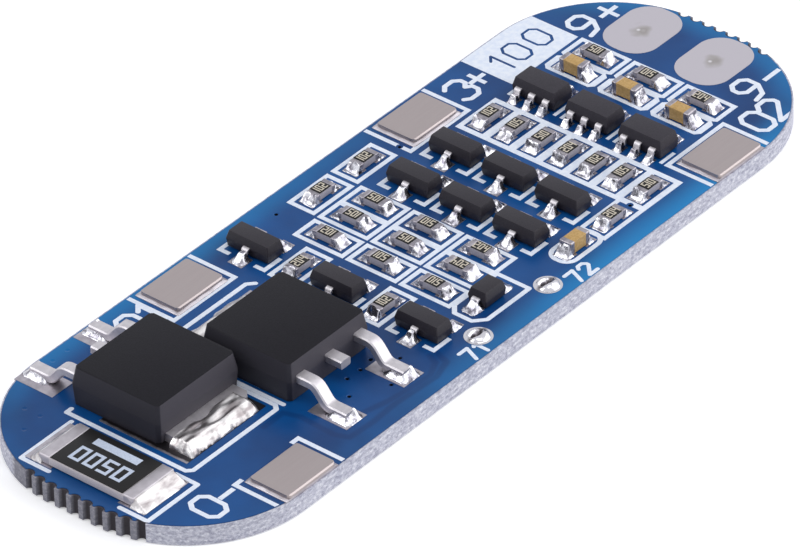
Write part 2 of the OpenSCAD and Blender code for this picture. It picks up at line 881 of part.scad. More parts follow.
shunt_cap_l = 0.75;
module shunt_core() {
    color("gainsboro")
        translate([shunt_x, shunt_y, pad_top + shunt_h / 2])
            cube([shunt_w, shunt_l - 2 * 0.06, shunt_h - 2 * 0.04], center = true);
}
module shunt_caps() {
    color("silver")
        translate([shunt_x, shunt_y, pad_top])
            for (s = [-1, 1])
                difference() {
                    translate([-shunt_w / 2, s > 0 ? shunt_l / 2 - shunt_cap_l : -shunt_l / 2, 0])
                        cube([shunt_w, shunt_cap_l, shunt_h]);
                    translate([0, 0, shunt_h / 2])
                        cube([shunt_w + 1, shunt_l - 2 * 0.06, shunt_h - 2 * 0.04], center = true);
                }
}
module shunt_glaze() {
    color("black")
        translate([shunt_x, shunt_y, pad_top + shunt_h - 0.04])
            linear_extrude(0.06)
                square([shunt_w - 0.08, shunt_l - 2 * shunt_cap_l], center = true);
}
module solder_shunt() {
    color("silver")
        for (s = [-1, 1])
            translate([shunt_x, shunt_y + s * shunt_l / 2, pad_top])
                rotate(s * 90)
                    fillet(shunt_w - 0.3, 0.75, shunt_h * 0.75);
}

// ---------- small transistors ----------

sot_lead_w = 0.42;
sot_lead_t = 0.13;
sot_lead_top = deck + 0.62;
sot_out = (sot_span - sot_w) / 2;         // lead length outside the case

module sot_leads_solid() {
    flat = 0.15 + 0.12;
    drop = 0.15;
    foot = sot_out + 0.15 - flat - drop;
    translate([-sot_w / 2 + 0.15, 0, 0])
        rotate(180)
            gull(sot_lead_w, sot_lead_t, sot_lead_top, pad_top, flat, drop, foot);
    for (s = [-1, 1])
        translate([sot_w / 2 - 0.15, s * sot_two, 0])
            gull(sot_lead_w, sot_lead_t, sot_lead_top, pad_top, flat, drop, foot);
}

module sot_case(k) {
    color("darkslategray")
        at_sots(k)
            difference() {
                moulded(sot_w, sot_l, deck + 0.1, sot_lead_top - 0.06, deck + sot_h, 0.13, 0.06);
                sot_leads_solid();
            }
}
module sot_leads(k) {
    color("silver")
        at_sots(k)
            sot_leads_solid();
}

// ---------- cell monitors ----------

mon_out = (mon_span - mon_w) / 2;
mon_lead_w = 0.4;
mon_lead_top = deck + 0.68;

module mon_leads_solid() {
    flat = 0.15 + 0.12;
    drop = 0.16;
    foot = mon_out + 0.15 - flat - drop;
    for (sx = [0, 180], k = [-1, 0, 1])
        translate([(sx == 0 ? 1 : -1) * (mon_w / 2 - 0.15), k * mon_pitch, 0])
            rotate(sx)
                gull(mon_lead_w, 0.14, mon_lead_top, pad_top, flat, drop, foot);
}

module monitor_case(k) {
    color("dimgray")
        translate([mon_x, mon_y[k], 0])
            difference() {
                moulded(mon_w, mon_l, deck + 0.1, mon_lead_top - 0.07, deck + mon_h, 0.12, 0.06);
                mon_leads_solid();
            }
}
module monitor_leads(k) {
    color("silver")
        translate([mon_x, mon_y[k], 0])
            mon_leads_solid();
}

// ---------- chip resistors and capacitors ----------

wrap = 0.02;                              // thickness of the metal on a chip's ends
module chip_core(h)
    translate([0, 0, pad_top + h / 2])
        cube([chip_l - 2 * wrap, chip_w - 2 * wrap, h - 2 * wrap], center = true);

module chip_caps(h, l) {
    for (s = [-1, 1])
        difference() {
            translate([s * (chip_l / 2 - l / 2), 0, pad_top + h / 2])
                cube([l, chip_w, h], center = true);
            chip_core(h);
        }
}

module resistor_cores() { color("white") at_chips() chip_core(res_h); }
module resistor_caps() { color("silver") at_chips() chip_caps(res_h, 0.32); }
module resistor_glazes() {
    color("black")
        at_chips()
            translate([0, 0, pad_top + res_h - wrap + 0.02])
                cube([chip_l - 0.68, chip_w - 0.06, 0.04], center = true);
}
module capacitor_cores() { color("tan") at_caps() chip_core(cap_h); }
module capacitor_caps() { color("silver") at_caps() chip_caps(cap_h, 0.36); }

module solder_chips() {
    color("silver") {
        at_chips()
            for (s = [0, 180])
                rotate(s)
                    translate([chip_l / 2, 0, pad_top])
                        fillet(chip_w - 0.06, 0.4, res_h * 0.75);
        at_caps()
            for (s = [0, 180])
                rotate(s)
                    translate([chip_l / 2, 0, pad_top])
                        fillet(chip_w - 0.06, 0.42, cap_h * 0.6);
    }
}

// ---------- diode ----------

module diode_leads_solid() {
    for (s = [0, 180])
        translate([(s == 0 ? 1 : -1) * (diode_l / 2 - 0.15), 0, 0])
            rotate(s)
                gull(0.5, 0.13, deck + 0.6, pad_top, 0.25, 0.1, 0.2);
}
module diode_case() {
    color("darkslategray")
        translate([diode[0], diode[1], 0])
            difference() {
                moulded(diode_l, diode_w, deck + 0.1, deck + 0.54, deck + diode_h, 0.12, 0.06);
                diode_leads_solid();
            }
}
module diode_leads() {
    color("silver")
        translate([diode[0], diode[1], 0])
            diode_leads_solid();
}

// Solder around the feet of the small leaded parts
module solder_leads() {
    color("silver") {
        at_sots() {
            translate([-sot_span / 2, 0, pad_top])
                rotate(180)
                    fillet(0.62, 0.35, 0.16);
            for (s = [-1, 1])
                translate([sot_span / 2, s * sot_two, pad_top])
                    fillet(0.55, 0.32, 0.16);
        }
        for (y = mon_y, sx = [0, 180], k = [-1, 0, 1])
            translate([mon_x, y + k * mon_pitch, pad_top])
                rotate(sx)
                    translate([mon_span / 2, 0, 0])
                        fillet(mon_lead_w, 0.15, 0.15);
        translate([diode[0], diode[1], pad_top])
            for (s = [0, 180])
                rotate(s)
                    translate([diode_l / 2 + 0.4, 0, 0])
                        fillet(0.6, 0.3, 0.16);
    }
}

// ---------- nodes ----------

board_laminate();
mask_top();
mask_bottom();
legend_print();
pad_p_plus();
pad_p_minus();
pads_cell_tabs();
pads_parts();
cell_tab(0);  // cell_tab_0
cell_tab(1);  // cell_tab_1
cell_tab(2);  // cell_tab_2
cell_tab(3);  // cell_tab_3
mosfet_a_case();
mosfet_a_slug();
mosfet_a_leads();
mosfet_b_case();
mosfet_b_slug();
mosfet_b_leads();
solder_mosfet_a();
solder_mosfet_b();
shunt_core();
shunt_caps();
shunt_glaze();
solder_shunt();
sot_case(0);  // transistor_1_case
sot_case(1);  // transistor_2_case
sot_case(2);  // transistor_3_case
sot_case(3);  // transistor_4_case
sot_case(4);  // transistor_5_case
sot_case(5);  // transistor_6_case
sot_case(6);  // transistor_7_case
sot_case(7);  // transistor_8_case
sot_case(8);  // transistor_9_case
sot_leads(0);  // transistor_1_leads
sot_leads(1);  // transistor_2_leads
sot_leads(2);  // transistor_3_leads
sot_leads(3);  // transistor_4_leads
sot_leads(4);  // transistor_5_leads
sot_leads(5);  // transistor_6_leads
sot_leads(6);  // transistor_7_leads
sot_leads(7);  // transistor_8_leads
sot_leads(8);  // transistor_9_leads
monitor_case(0);  // monitor_1_case
monitor_case(1);  // monitor_2_case
monitor_case(2);  // monitor_3_case
monitor_leads(0);  // monitor_1_leads
monitor_leads(1);  // monitor_2_leads
monitor_leads(2);  // monitor_3_leads
resistor_cores();
resistor_caps();
resistor_glazes();
capacitor_cores();
capacitor_caps();
diode_case();
diode_leads();
solder_chips();
solder_leads();
sense_joint(0);  // sense_joint_1
sense_joint(1);  // sense_joint_2
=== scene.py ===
# %% [markdown]
# # A battery management board
# The exact solids of the board come in as a fixed frame. This lesson dresses them: each bare
# solid gets the finish of its real material, and the small parts whose charm is in their soft
# shapes (solder, bent leads, moulded cases, rounded chips) are built anew over their solids.

# %% Load the frame
import math

import bmesh
import bpy
from mathutils import Matrix, Vector, noise


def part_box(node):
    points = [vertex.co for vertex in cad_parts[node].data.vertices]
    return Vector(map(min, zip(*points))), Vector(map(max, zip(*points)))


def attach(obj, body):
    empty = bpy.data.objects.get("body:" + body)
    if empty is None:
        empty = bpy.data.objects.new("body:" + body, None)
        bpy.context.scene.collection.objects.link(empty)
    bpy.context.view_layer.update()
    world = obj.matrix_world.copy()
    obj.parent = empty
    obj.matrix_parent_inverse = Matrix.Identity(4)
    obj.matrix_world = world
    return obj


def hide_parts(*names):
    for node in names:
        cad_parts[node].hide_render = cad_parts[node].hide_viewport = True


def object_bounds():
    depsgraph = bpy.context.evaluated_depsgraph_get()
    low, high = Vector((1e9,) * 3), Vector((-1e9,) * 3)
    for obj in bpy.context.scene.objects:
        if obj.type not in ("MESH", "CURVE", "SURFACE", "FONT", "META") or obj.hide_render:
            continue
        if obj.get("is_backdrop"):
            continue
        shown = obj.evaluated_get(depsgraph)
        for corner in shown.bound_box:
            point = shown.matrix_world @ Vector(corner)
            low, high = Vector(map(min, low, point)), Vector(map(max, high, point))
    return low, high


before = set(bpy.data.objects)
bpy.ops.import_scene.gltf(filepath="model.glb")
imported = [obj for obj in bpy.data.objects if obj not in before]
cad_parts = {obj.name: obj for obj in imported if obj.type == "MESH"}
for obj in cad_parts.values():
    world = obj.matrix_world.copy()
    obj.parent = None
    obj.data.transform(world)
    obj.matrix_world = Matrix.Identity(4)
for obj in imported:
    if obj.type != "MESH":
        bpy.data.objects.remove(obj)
cad_low, cad_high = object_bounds()
MM = 0.001
every = sorted(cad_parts)
print("solids:", len(every), "size mm:", [round(v / MM, 2) for v in cad_high - cad_low])

# %% [markdown]
# ## Small tools
# Colours are written as the sRGB hex values a painter would pick, and Blender's shaders want
# linear light, so one function turns one into the other. Patterns are sized in millimetres: a
# texture whose features should be `mm` wide gets the scale `per(mm)`, since the frame is in
# metres. One function adds a shader node with its settings and links. Inputs that share a name
# are called by number: in a Mix node 0 is the factor, 2 and 3 are its two numbers, and 6 and 7
# its two colours.


# %% Colour, scale and node helpers
def linear(hex_code):
    """The linear colour of an sRGB hex value, with full opacity."""
    parts = [int(hex_code[i:i + 2], 16) / 255 for i in (1, 3, 5)]
    return tuple(c / 12.92 if c <= 0.04045 else ((c + 0.055) / 1.055) ** 2.4
                 for c in parts) + (1.0,)


def per(mm):
    """The texture scale that gives features about mm wide."""
    return 1.0 / (mm * MM)


def wire(mat, node, inputs):
    """Sets inputs of a node. Each is a number, a vector, a socket to link from, or a node,
    whose first output in use is linked."""
    for key, value in inputs.items():
        if isinstance(value, bpy.types.Node):
            value = next(socket for socket in value.outputs if socket.enabled)
        if isinstance(value, bpy.types.NodeSocket):
            mat.node_tree.links.new(value, node.inputs[key])
        else:
            node.inputs[key].default_value = value


def add(mat, kind, inputs=None, **settings):
    """Adds a node with its settings and inputs."""
    made = mat.node_tree.nodes.new(kind)
    for key, value in settings.items():
        setattr(made, key, value)
    wire(mat, made, inputs or {})
    return made


def finish(name, colour, roughness, metallic=0.0, **more):
    """A material with its shader, and the board's own coordinates in metres."""
    mat = bpy.data.materials.new(name)
    mat.use_nodes = True
    shader = mat.node_tree.nodes["Principled BSDF"]
    shader.inputs["Base Color"].default_value = linear(colour)
    shader.inputs["Roughness"].default_value = roughness
    shader.inputs["Metallic"].default_value = metallic
    for key, value in more.items():
        shader.inputs[key.replace("_", " ")].default_value = value
    place = add(mat, "ShaderNodeTexCoord").outputs["Object"]
    return mat, shader, place


def steps(ramp, *stops):
    """Sets a colour ramp from (position, hex) pairs."""
    bar = ramp.color_ramp
    while len(bar.elements) < len(stops):
        bar.elements.new(0.5)
    for element, (position, hex_code) in zip(bar.elements, stops):
        element.position = position
        element.color = linear(hex_code)


print("helpers ready")

# %% [markdown]
# ## Camera
# A long lens from far off keeps the board's long edges nearly parallel. The camera looks down
# at about 36 degrees from the shunt's end, with a very slight tilt. It could be aimed with a
# tracking constraint, but three plain angles and a distance can be read back and changed alone.

# %% Camera
azimuth, elevation, tilt = (math.radians(a) for a in (-49.713, 35.949, -1.351))
lens_mm, distance_mm = 383.33, 445.21
target = Vector((-0.366, 0.128, 0.0)) * MM
back = Vector((
    math.sin(azimuth) * math.cos(elevation),
    -math.cos(azimuth) * math.cos(elevation),
    math.sin(elevation)))
level = Vector((math.cos(azimuth), math.sin(azimuth), 0.0))
rise = back.cross(level)
side = level * math.cos(tilt) + rise * math.sin(tilt)
rise = rise * math.cos(tilt) - level * math.sin(tilt)
eye = bpy.data.cameras.new("camera")
eye.sensor_width = 36.0
eye.lens = lens_mm
eye.clip_start = 0.01
eye.clip_end = 10.0
camera = bpy.data.objects.new("camera", eye)
turn = Matrix((side, rise, back)).transposed().to_4x4()
camera.matrix_world = Matrix.Translation(target + back * distance_mm * MM) @ turn
bpy.context.scene.collection.objects.link(camera)
bpy.context.scene.camera = camera
print("camera at mm:", [round(v / MM, 1) for v in camera.matrix_world.translation])

# %% [markdown]
# ## Floor and light
# The board lies on a pale sheet. One large soft lamp stands to the front right, where the
# slopes of the solder mirror it towards the viewer, a weaker one to the back left, and a dim
# one overhead. The floor and the world could be made white with more light, but that would
# bleach the board. They show as white to the camera and in reflections through Light Path,
# which adds no light to the board's dull surfaces, and the floor keeps a soft shadow.


# %% Rays that show the background
def background_rays(mat):
    """1 for camera, transmission and glossy rays, and 0 for rays that light dull surfaces."""
    ray = add(mat, "ShaderNodeLightPath")
    seen = ray.outputs["Is Camera Ray"]
    for kind in ("Is Transmission Ray", "Is Glossy Ray"):
        seen = add(mat, "ShaderNodeMath", {0: seen, 1: ray.outputs[kind]}, operation="MAXIMUM")
    return seen


print("background rays ready")

# %% Floor
floor_half, floor_drop, floor_glow = 3.0, 0.02 * MM, 0.3
floor_mesh = bpy.data.meshes.new("floor")
floor_mesh.from_pydata([(x * floor_half, y * floor_half, 0)
                        for x, y in ((-1, -1), (1, -1), (1, 1), (-1, 1))], [], [(0, 1, 2, 3)])
floor = bpy.data.objects.new("floor", floor_mesh)
bpy.context.scene.collection.objects.link(floor)
floor.location.z = -floor_drop
# matt coated paper, pressed smooth: it has no shine of its own
paper, shader, place = finish("white_paper_sweep", "#f2f2f4", 0.9,
                              Emission_Color=linear("#ffffff"))
lit = add(paper, "ShaderNodeMath", {0: background_rays(paper), 1: floor_glow},
          operation="MULTIPLY")
wire(paper, shader, {"Emission Strength": lit})
floor_mesh.materials.append(paper)
floor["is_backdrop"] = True
print("floor ready")

# %% World
room_light, room_white = 0.4, 1.0
world = bpy.data.worlds.new("studio")
bpy.context.scene.world = world
world.use_nodes = True
sky = world.node_tree.nodes["Background"]
sky.inputs["Color"].default_value = linear("#f8faff")
glow = add(world, "ShaderNodeMix", {0: background_rays(world), 2: room_light, 3: room_white},
           data_type="FLOAT")
wire(world, sky, {"Strength": glow})
print("world ready")


# %% Soft lamps
def soft_lamp(name, direction, far_mm, width_mm, height_mm, watts):
    """A flat lamp that far off in that direction, turned to the board."""
    data = bpy.data.lights.new(name, "AREA")
    data.shape = "RECTANGLE"
    data.size = width_mm * MM
    data.size_y = height_mm * MM
    data.energy = watts
    lamp = bpy.data.objects.new(name, data)
    way = Vector(direction).normalized()
    lamp.location = way * far_mm * MM
    lamp.rotation_euler = (-way).to_track_quat("-Z", "Y").to_euler()
    bpy.context.scene.collection.objects.link(lamp)
    print(name, watts, "W")


soft_lamp("lamp_front_right", (0.62, -0.60, 0.42), far_mm=550, width_mm=800, height_mm=680,
          watts=2.7)
soft_lamp("lamp_back_left", (-0.60, 0.50, 0.62), far_mm=550, width_mm=300, height_mm=260,
          watts=0.75)
soft_lamp("lamp_overhead", (-0.15, -0.25, 1.0), far_mm=600, width_mm=360, height_mm=360,
          watts=0.8)
bpy.context.scene.view_settings.view_transform = "Standard"

# %% [markdown]
# ## Laminate
# The core is FR-4: woven glass cloth in epoxy, routed and broken out of a panel. Its cut edge
# is pale and milky and full of tiny bright fibre ends in thin layers. Where the board was
# snapped off, the drilled half holes are painted brown-black as shade, and so are all drilled
# holes.
# The cloth could be a picture wrapped round the edge. Noise in the board's own coordinates is
# used instead, because it has no seam and no stretch at the round corners.


# %% Distance from the middle of the rounded outline
half = (cad_high - cad_low) / 2
corner = 7.5 * MM      # radius of the board's corners


def outline_reach(mat, place):
    """Reaches corner at the board's rim, and falls by a metre for each metre inwards."""
    mirror = add(mat, "ShaderNodeVectorMath", {0: place}, operation="ABSOLUTE")
    over = add(mat, "ShaderNodeVectorMath", {
        0: mirror, 1: (half.x - corner, half.y - corner, 1.0)}, operation="SUBTRACT")
    over = add(mat, "ShaderNodeVectorMath", {0: over, 1: (0.0, 0.0, 0.0)}, operation="MAXIMUM")
    return add(mat, "ShaderNodeVectorMath", {0: over}, operation="LENGTH")


print("board half size mm:", round(half.x / MM, 2), round(half.y / MM, 2))

# %% FR-4 laminate: fibre ends and cloth layers
laminate, shader, place = finish("fr4_glass_epoxy_routed", "#bdbdcb", 0.7)
# fibre ends are 0.01 mm: drawn at 0.2 mm, longer along the edge, so that they show as speckle
lay = add(laminate, "ShaderNodeMapping", {"Vector": place, "Scale": (1.0, 1.0, 1.6)})
speck = add(laminate, "ShaderNodeTexNoise", {"Vector": lay, "Scale": per(0.24), "Detail": 5.0,
                                             "Roughness": 0.75})
fibre = add(laminate, "ShaderNodeValToRGB", {"Fac": speck})
steps(fibre, (0.34, "#8f90a4"), (0.48, "#bfc0cf"), (0.64, "#ececf3"))
# glass cloth layers are 0.16 mm apart
cloth = add(laminate, "ShaderNodeTexWave", {
    "Vector": place, "Scale": per(0.16) / (2 * math.pi), "Distortion": 2.5, "Detail": 2.0,
    "Detail Scale": per(0.7)}, bands_direction="Z")
thin = add(laminate, "ShaderNodeMath", {0: cloth.outputs["Fac"], 1: 0.3}, operation="MULTIPLY")
edge = add(laminate, "ShaderNodeMix", {0: thin, 6: fibre, 7: linear("#9c9cae")}, data_type="RGBA")
rasp = add(laminate, "ShaderNodeBump", {"Height": speck, "Strength": 0.7, "Distance": 0.05 * MM})
wire(laminate, shader, {"Normal": rasp})
print("cloth layers in place")

# %% FR-4 laminate: painted shade in the holes and along the notches
# distance inside the rounded outline tells the outer edge from the drilled holes
inside = add(laminate, "ShaderNodeMapRange", {
    "Value": outline_reach(laminate, place), "From Min": corner - 0.2 * MM,
    "From Max": corner - 0.04 * MM, "To Min": 1.0, "To Max": 0.0})
# the stretch with notches is read from the laminate's own mesh
notch_deep, notch_side = 0.7 * MM, half.y - corner + 4 * MM
bitten = [v.co.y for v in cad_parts["board_laminate"].data.vertices
          if half.x - notch_deep < abs(v.co.x) < half.x - 0.02 * MM and abs(v.co.y) < notch_side]
first, last = min(bitten), max(bitten)
print("notches from", round(first / MM, 2), "to", round(last / MM, 2), "mm")
axes = add(laminate, "ShaderNodeSeparateXYZ", {"Vector": place})
away = add(laminate, "ShaderNodeMath", {0: axes.outputs["Y"], 1: (first + last) / 2},
           operation="SUBTRACT")
away = add(laminate, "ShaderNodeMath", {0: away}, operation="ABSOLUTE")
# the stretch with notches is painted darker, as painted shade in their hollows
notch_shade_share = add(laminate, "ShaderNodeMapRange", {
    "Value": away, "From Min": (last - first) / 2 - 0.4 * MM,
    "From Max": (last - first) / 2, "To Min": 0.65, "To Max": 0.0})
with_notch_shade = add(laminate, "ShaderNodeMix", {0: notch_shade_share, 6: edge, 7: linear("#4b4850")}, data_type="RGBA")
# the walls of the drilled holes, inward of the outline, are painted near black as painted shade
with_hole_shade = add(laminate, "ShaderNodeMix", {0: inside, 6: with_notch_shade, 7: linear("#2a252c")},
              data_type="RGBA")
wire(laminate, shader, {"Base Color": with_hole_shade})
print("made", laminate.name)

# %% [markdown]
# ## Solder mask
# A blue lacquer is printed over both faces and cured. Over copper it looks navy. Along two
# stretches of the rim there is no copper, and the light that comes up through the laminate
# there is painted in as a glow that turns the blue towards cyan. Its gloss is that of varnish,
# with a faint swell from the weave below. The tones could be painted on a picture of the board.
# They are worked out from the distance to the rim instead, so they follow the outline.

# %% Blue solder mask: how much of the cyan tone each place gets
mask, shader, place = finish("solder_mask_lacquer_cured", "#1f4f8a", 0.3, Specular_IOR_Level=0.22)
rim = add(mask, "ShaderNodeMapRange", {
    "Value": outline_reach(mask, place), "From Min": corner - 1.9 * MM,
    "From Max": corner - 0.1 * MM}, interpolation_type="SMOOTHSTEP")
axes = add(mask, "ShaderNodeSeparateXYZ", {"Vector": place})
# the two bare stretches lie on one diagonal, where x times y is negative, and the rear one is
# a third weaker
cross = add(mask, "ShaderNodeMath", {0: axes.outputs["X"], 1: axes.outputs["Y"]},
            operation="MULTIPLY")
bare_and_glow = add(mask, "ShaderNodeMapRange", {
    "Value": cross, "From Min": 0.42 * half.x * half.y,
    "From Max": -0.21 * half.x * half.y, "To Min": 0.08, "To Max": 1.0})
rear = add(mask, "ShaderNodeMapRange", {
    "Value": axes.outputs["Y"], "From Min": 0.3 * half.y, "From Max": 0.6 * half.y,
    "To Min": 1.0, "To Max": 0.66})
bare_and_glow = add(mask, "ShaderNodeMath", {0: bare_and_glow, 1: rear}, operation="MULTIPLY")
# the copper comes closer to the rim at both ends, but leaves some bare beside the output pads
off_centre = add(mask, "ShaderNodeMath", {0: axes.outputs["X"]}, operation="ABSOLUTE")
ends = add(mask, "ShaderNodeMapRange", {
    "Value": off_centre, "From Min": half.x - corner, "From Max": half.x - 2.5 * MM,
    "To Min": 1.0, "To Max": 0.12})
where = add(mask, "ShaderNodeMath", {0: bare_and_glow, 1: ends}, operation="MULTIPLY")
far_end = add(mask, "ShaderNodeMapRange", {
    "Value": axes.outputs["X"], "From Min": half.x - 5.5 * MM, "From Max": half.x - 1.5 * MM,
    "To Min": 0.0, "To Max": 0.55})
where = add(mask, "ShaderNodeMath", {0: where, 1: far_end}, operation="MAXIMUM")
painted_glow_share = add(mask, "ShaderNodeMath", {0: rim, 1: where}, operation="MULTIPLY")
print("cyan tone placed")

# %% Blue solder mask: navy clouds and the cyan tone
cloud = add(mask, "ShaderNodeTexNoise", {"Vector": place, "Scale": per(6.0), "Detail": 3.0})
deep = add(mask, "ShaderNodeValToRGB", {"Fac": cloud})
steps(deep, (0.35, "#08386f"), (0.65, "#0c4d8d"))
# the cyan is a painted glow of light through the laminate, where there is no copper
skin = add(mask, "ShaderNodeMix", {0: painted_glow_share, 6: deep, 7: linear("#127bba")}, data_type="RGBA")
# cloth weave shows through as a swell about 0.9 mm wide
weave = add(mask, "ShaderNodeTexNoise", {"Vector": place, "Scale": per(0.9), "Detail": 2.0})
swell = add(mask, "ShaderNodeBump", {"Height": weave, "Strength": 0.4, "Distance": 0.02 * MM})
wire(mask, shader, {"Normal": swell})
print("made", mask.name)


# %% Distances in a material
def line_distance(mat, place, a, b):
    """Distance from the straight line between a and b, which are (x, y) in mm, from above."""
    start, way = Vector((*a, 0)) * MM, (Vector((*b, 0)) - Vector((*a, 0))) * MM
    flat = add(mat, "ShaderNodeVectorMath", {0: place, 1: (1.0, 1.0, 0.0)}, operation="MULTIPLY")
    gone = add(mat, "ShaderNodeVectorMath", {0: flat, 1: start}, operation="SUBTRACT")
    along = add(mat, "ShaderNodeVectorMath", {0: gone, 1: way / way.length_squared},
                operation="DOT_PRODUCT")
    share = add(mat, "ShaderNodeClamp", {"Value": along})
    foot = add(mat, "ShaderNodeVectorMath", {0: way, "Scale": share}, operation="SCALE")
    off = add(mat, "ShaderNodeVectorMath", {0: gone, 1: foot}, operation="SUBTRACT")
    return add(mat, "ShaderNodeVectorMath", {0: off}, operation="LENGTH")


def nearest(mat, distances):
    """The least of several distances."""
    least = distances[0]
    for distance in distances[1:]:
        least = add(mat, "ShaderNodeMath", {0: least, 1: distance}, operation="MINIMUM")
    return least


print("distance helpers ready")

# %% Blue solder mask: gaps between the copper areas near the front edge
# the lacquer sinks into the gaps and looks darker there. Their places are in mm from the front
# left corner of the second power transistor's leads
gaps_mm = (
    ((-2.8, 3.1), (-1.3, 3.1), (-1.0, 2.2), (-1.1, -0.1), (-0.8, -0.9), (0.9, -1.0), (2.9, -0.9),
     (5.9, -1.1), (7.2, -0.7), (7.5, 0.2)),
    ((1.2, -0.1), (2.9, -0.5), (4.5, -0.7), (5.8, -0.8), (6.8, -0.3), (7.1, 0.3)),
)
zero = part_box("mosfet_b_leads")[0].xy / MM
gap = nearest(mask, [line_distance(mask, place, zero + Vector(a), zero + Vector(b))
                     for line in gaps_mm for a, b in zip(line, line[1:])])
sunk = add(mask, "ShaderNodeMapRange", {
    "Value": gap, "From Min": 0.08 * MM, "From Max": 0.3 * MM, "To Min": 0.45, "To Max": 0.0},
    interpolation_type="SMOOTHSTEP")
skin = add(mask, "ShaderNodeMix", {0: sunk, 6: skin, 7: linear("#082a5c")}, data_type="RGBA")
wire(mask, shader, {"Base Color": skin})
print("gap lines from mm:", [round(v, 2) for v in zero])

# %% [markdown]
# ## Patterns on a shared plan
# Most other finishes are one tint broken by a fine grain, with the same grain as relief. One
# function makes such a finish from two tints, a grain width and a grain depth, and each call
# says what the material is and how its surface was made. Each could have its own node group,
# but then a change to the plan would have to be made many times.


# %% Grained finishes
def grained(name, light, dark, roughness, mm, depth_mm, metallic=0.0,
            stretch=(1.0, 1.0, 1.0), **more):
    """A finish of two tints, with a grain mm wide and depth_mm deep."""
    mat, shader, place = finish(name, light, roughness, metallic, **more)
    lay = add(mat, "ShaderNodeMapping", {"Vector": place, "Scale": stretch})
    grain = add(mat, "ShaderNodeTexNoise", {"Vector": lay, "Scale": per(mm), "Detail": 3.0})
    tint = add(mat, "ShaderNodeValToRGB", {"Fac": grain})
    steps(tint, (0.35, dark), (0.62, light))
    relief = add(mat, "ShaderNodeBump", {"Height": grain, "Strength": 0.6,
                                         "Distance": depth_mm * MM})
    wire(mat, shader, {"Base Color": tint, "Normal": relief})
    print("made", name)
    return mat


# legend: screen-printed white epoxy ink, matt, a little uneven where it was squeezed through mesh
ink = grained("legend_ink_screened", "#eaf0fb", "#dde6f7", 0.6, 0.3, 0.003)

# %% [markdown]
# ### Metals
# The cell tabs are rolled pure nickel, warm grey with faint lines. Pads are copper dipped in
# tin, soft and dull. Leads are tin-plated, satin and almost white. Solder froze from liquid,
# so it mirrors the room. The ends of the chips are fired silver, plated with nickel and tin.
# One silver metal could serve them all, but the eye tells them apart by warmth and gloss.

# %% Metal finishes
# rolled pure nickel: warm and even. Its lines are 0.02 mm apart, drawn 0.15 mm across, 2.5 mm long
nickel = grained("nickel_strip_rolled", "#a99f9e", "#a79d9c", 0.42, 0.15, 0.0001,
                 metallic=1.0, stretch=(0.06, 1.0, 1.0))
# electroplated tin on copper strip: satin, soft highlights on the bends
lead_tin = grained("lead_frame_tin_plated", "#c8c4c7", "#bdb9bd", 0.5, 0.3, 0.004, metallic=1.0)
# barrel-plated tin on fired silver: darker and a little lumpy
terminal = grained("chip_terminal_tin_plated", "#a5a0a5", "#86828a", 0.36, 0.35, 0.03,
                   metallic=1.0)
# thick plated tin on the shunt, and thin solder round the cell tabs: broad and dull
bar_tin = grained("shunt_terminal_tin_plated", "#bab5ba", "#aea9ae", 0.48, 0.5, 0.006,
                  metallic=1.0)
# tin-lead solder frozen from liquid: bright, broken by dark reflections of its neighbours
solder = grained("solder_tin_lead_frozen", "#e2e1e6", "#726f79", 0.22, 0.36, 0.06, metallic=1.0)
# solder drawn along an edge by the iron: streaks along the board, less bright
streaked = grained("solder_flowed_along_tab", "#dcd9d8", "#968f90", 0.38, 0.45, 0.05, metallic=1.0,
                   stretch=(0.4, 1.0, 1.0))

# %% [markdown]
# ### Pads
# The pads are copper dipped in hot tin. Round the drain tab of the first power transistor the
# pad lies in the shade of the case and mirrors its dark body: a painted shade and painted
# reflection, nearly black. It could be a thin piece of its own. It has no thickness to see,
# so it is painted in the pad's material, and noise frays its shore.

# %% Pads: hot-tinned copper, with painted shade round the first drain tab
tinned, shader, place = finish("copper_pad_hot_tinned", "#c0bbc1", 0.42, metallic=1.0)
low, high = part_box("mosfet_a_slug")
middle = (low + high) / 2
cover = (high - low) / 2 + Vector((0.7, 1.3, 3.0)) * MM      # the painted shade goes past the tab
away = add(tinned, "ShaderNodeVectorMath", {0: place, 1: middle}, operation="SUBTRACT")
away = add(tinned, "ShaderNodeVectorMath", {0: away}, operation="ABSOLUTE")
away = add(tinned, "ShaderNodeVectorMath", {0: away, 1: cover}, operation="SUBTRACT")
gaps = add(tinned, "ShaderNodeSeparateXYZ", {"Vector": away})
gap = add(tinned, "ShaderNodeMath", {0: gaps.outputs["X"], 1: gaps.outputs["Y"]},
          operation="MAXIMUM")
patch = add(tinned, "ShaderNodeTexNoise", {"Vector": place, "Scale": per(0.5), "Detail": 3.0})
shore = add(tinned, "ShaderNodeMath", {0: patch, 1: 0.25 * MM, 2: gap}, operation="MULTIPLY_ADD")
painted_case_shade = add(tinned, "ShaderNodeMapRange", {"Value": shore, "From Min": 0.02 * MM,
                                           "From Max": 0.14 * MM, "To Min": 0.94, "To Max": 0.0})
dull = add(tinned, "ShaderNodeValToRGB", {"Fac": patch})
steps(dull, (0.35, "#9f9aa1"), (0.62, "#b6b1b7"))
# painted shade and painted reflection of the dark case, near black, on the pad round the drain tab
pad_tone_and_shade = add(tinned, "ShaderNodeMix", {0: painted_case_shade, 6: dull, 7: linear("#29262a")}, data_type="RGBA")
wire(tinned, shader, {"Base Color": pad_tone_and_shade})
print("made", tinned.name)

# %% [markdown]
# ### Moulded, fired and printed parts
# The cases are epoxy filled with silica, moulded in etched steel: black-brown with a fine even
# grain. The resistors' glaze is printed glass, smoother. Alumina and capacitor ceramic are
# pressed and fired. The value numbers are printed over the glaze in cream. The grain could be
# carved in the meshes, but at this size bump shows the same and costs no faces.

# %% Power cases: moulded epoxy, with painted sheen on the side walls
# silica grain is 0.03 mm: drawn at 0.08 mm
power_epoxy = grained("power_case_epoxy_moulded", "#1b1a20", "#16151a", 0.5, 0.08, 0.008,
                      Specular_IOR_Level=0.12)
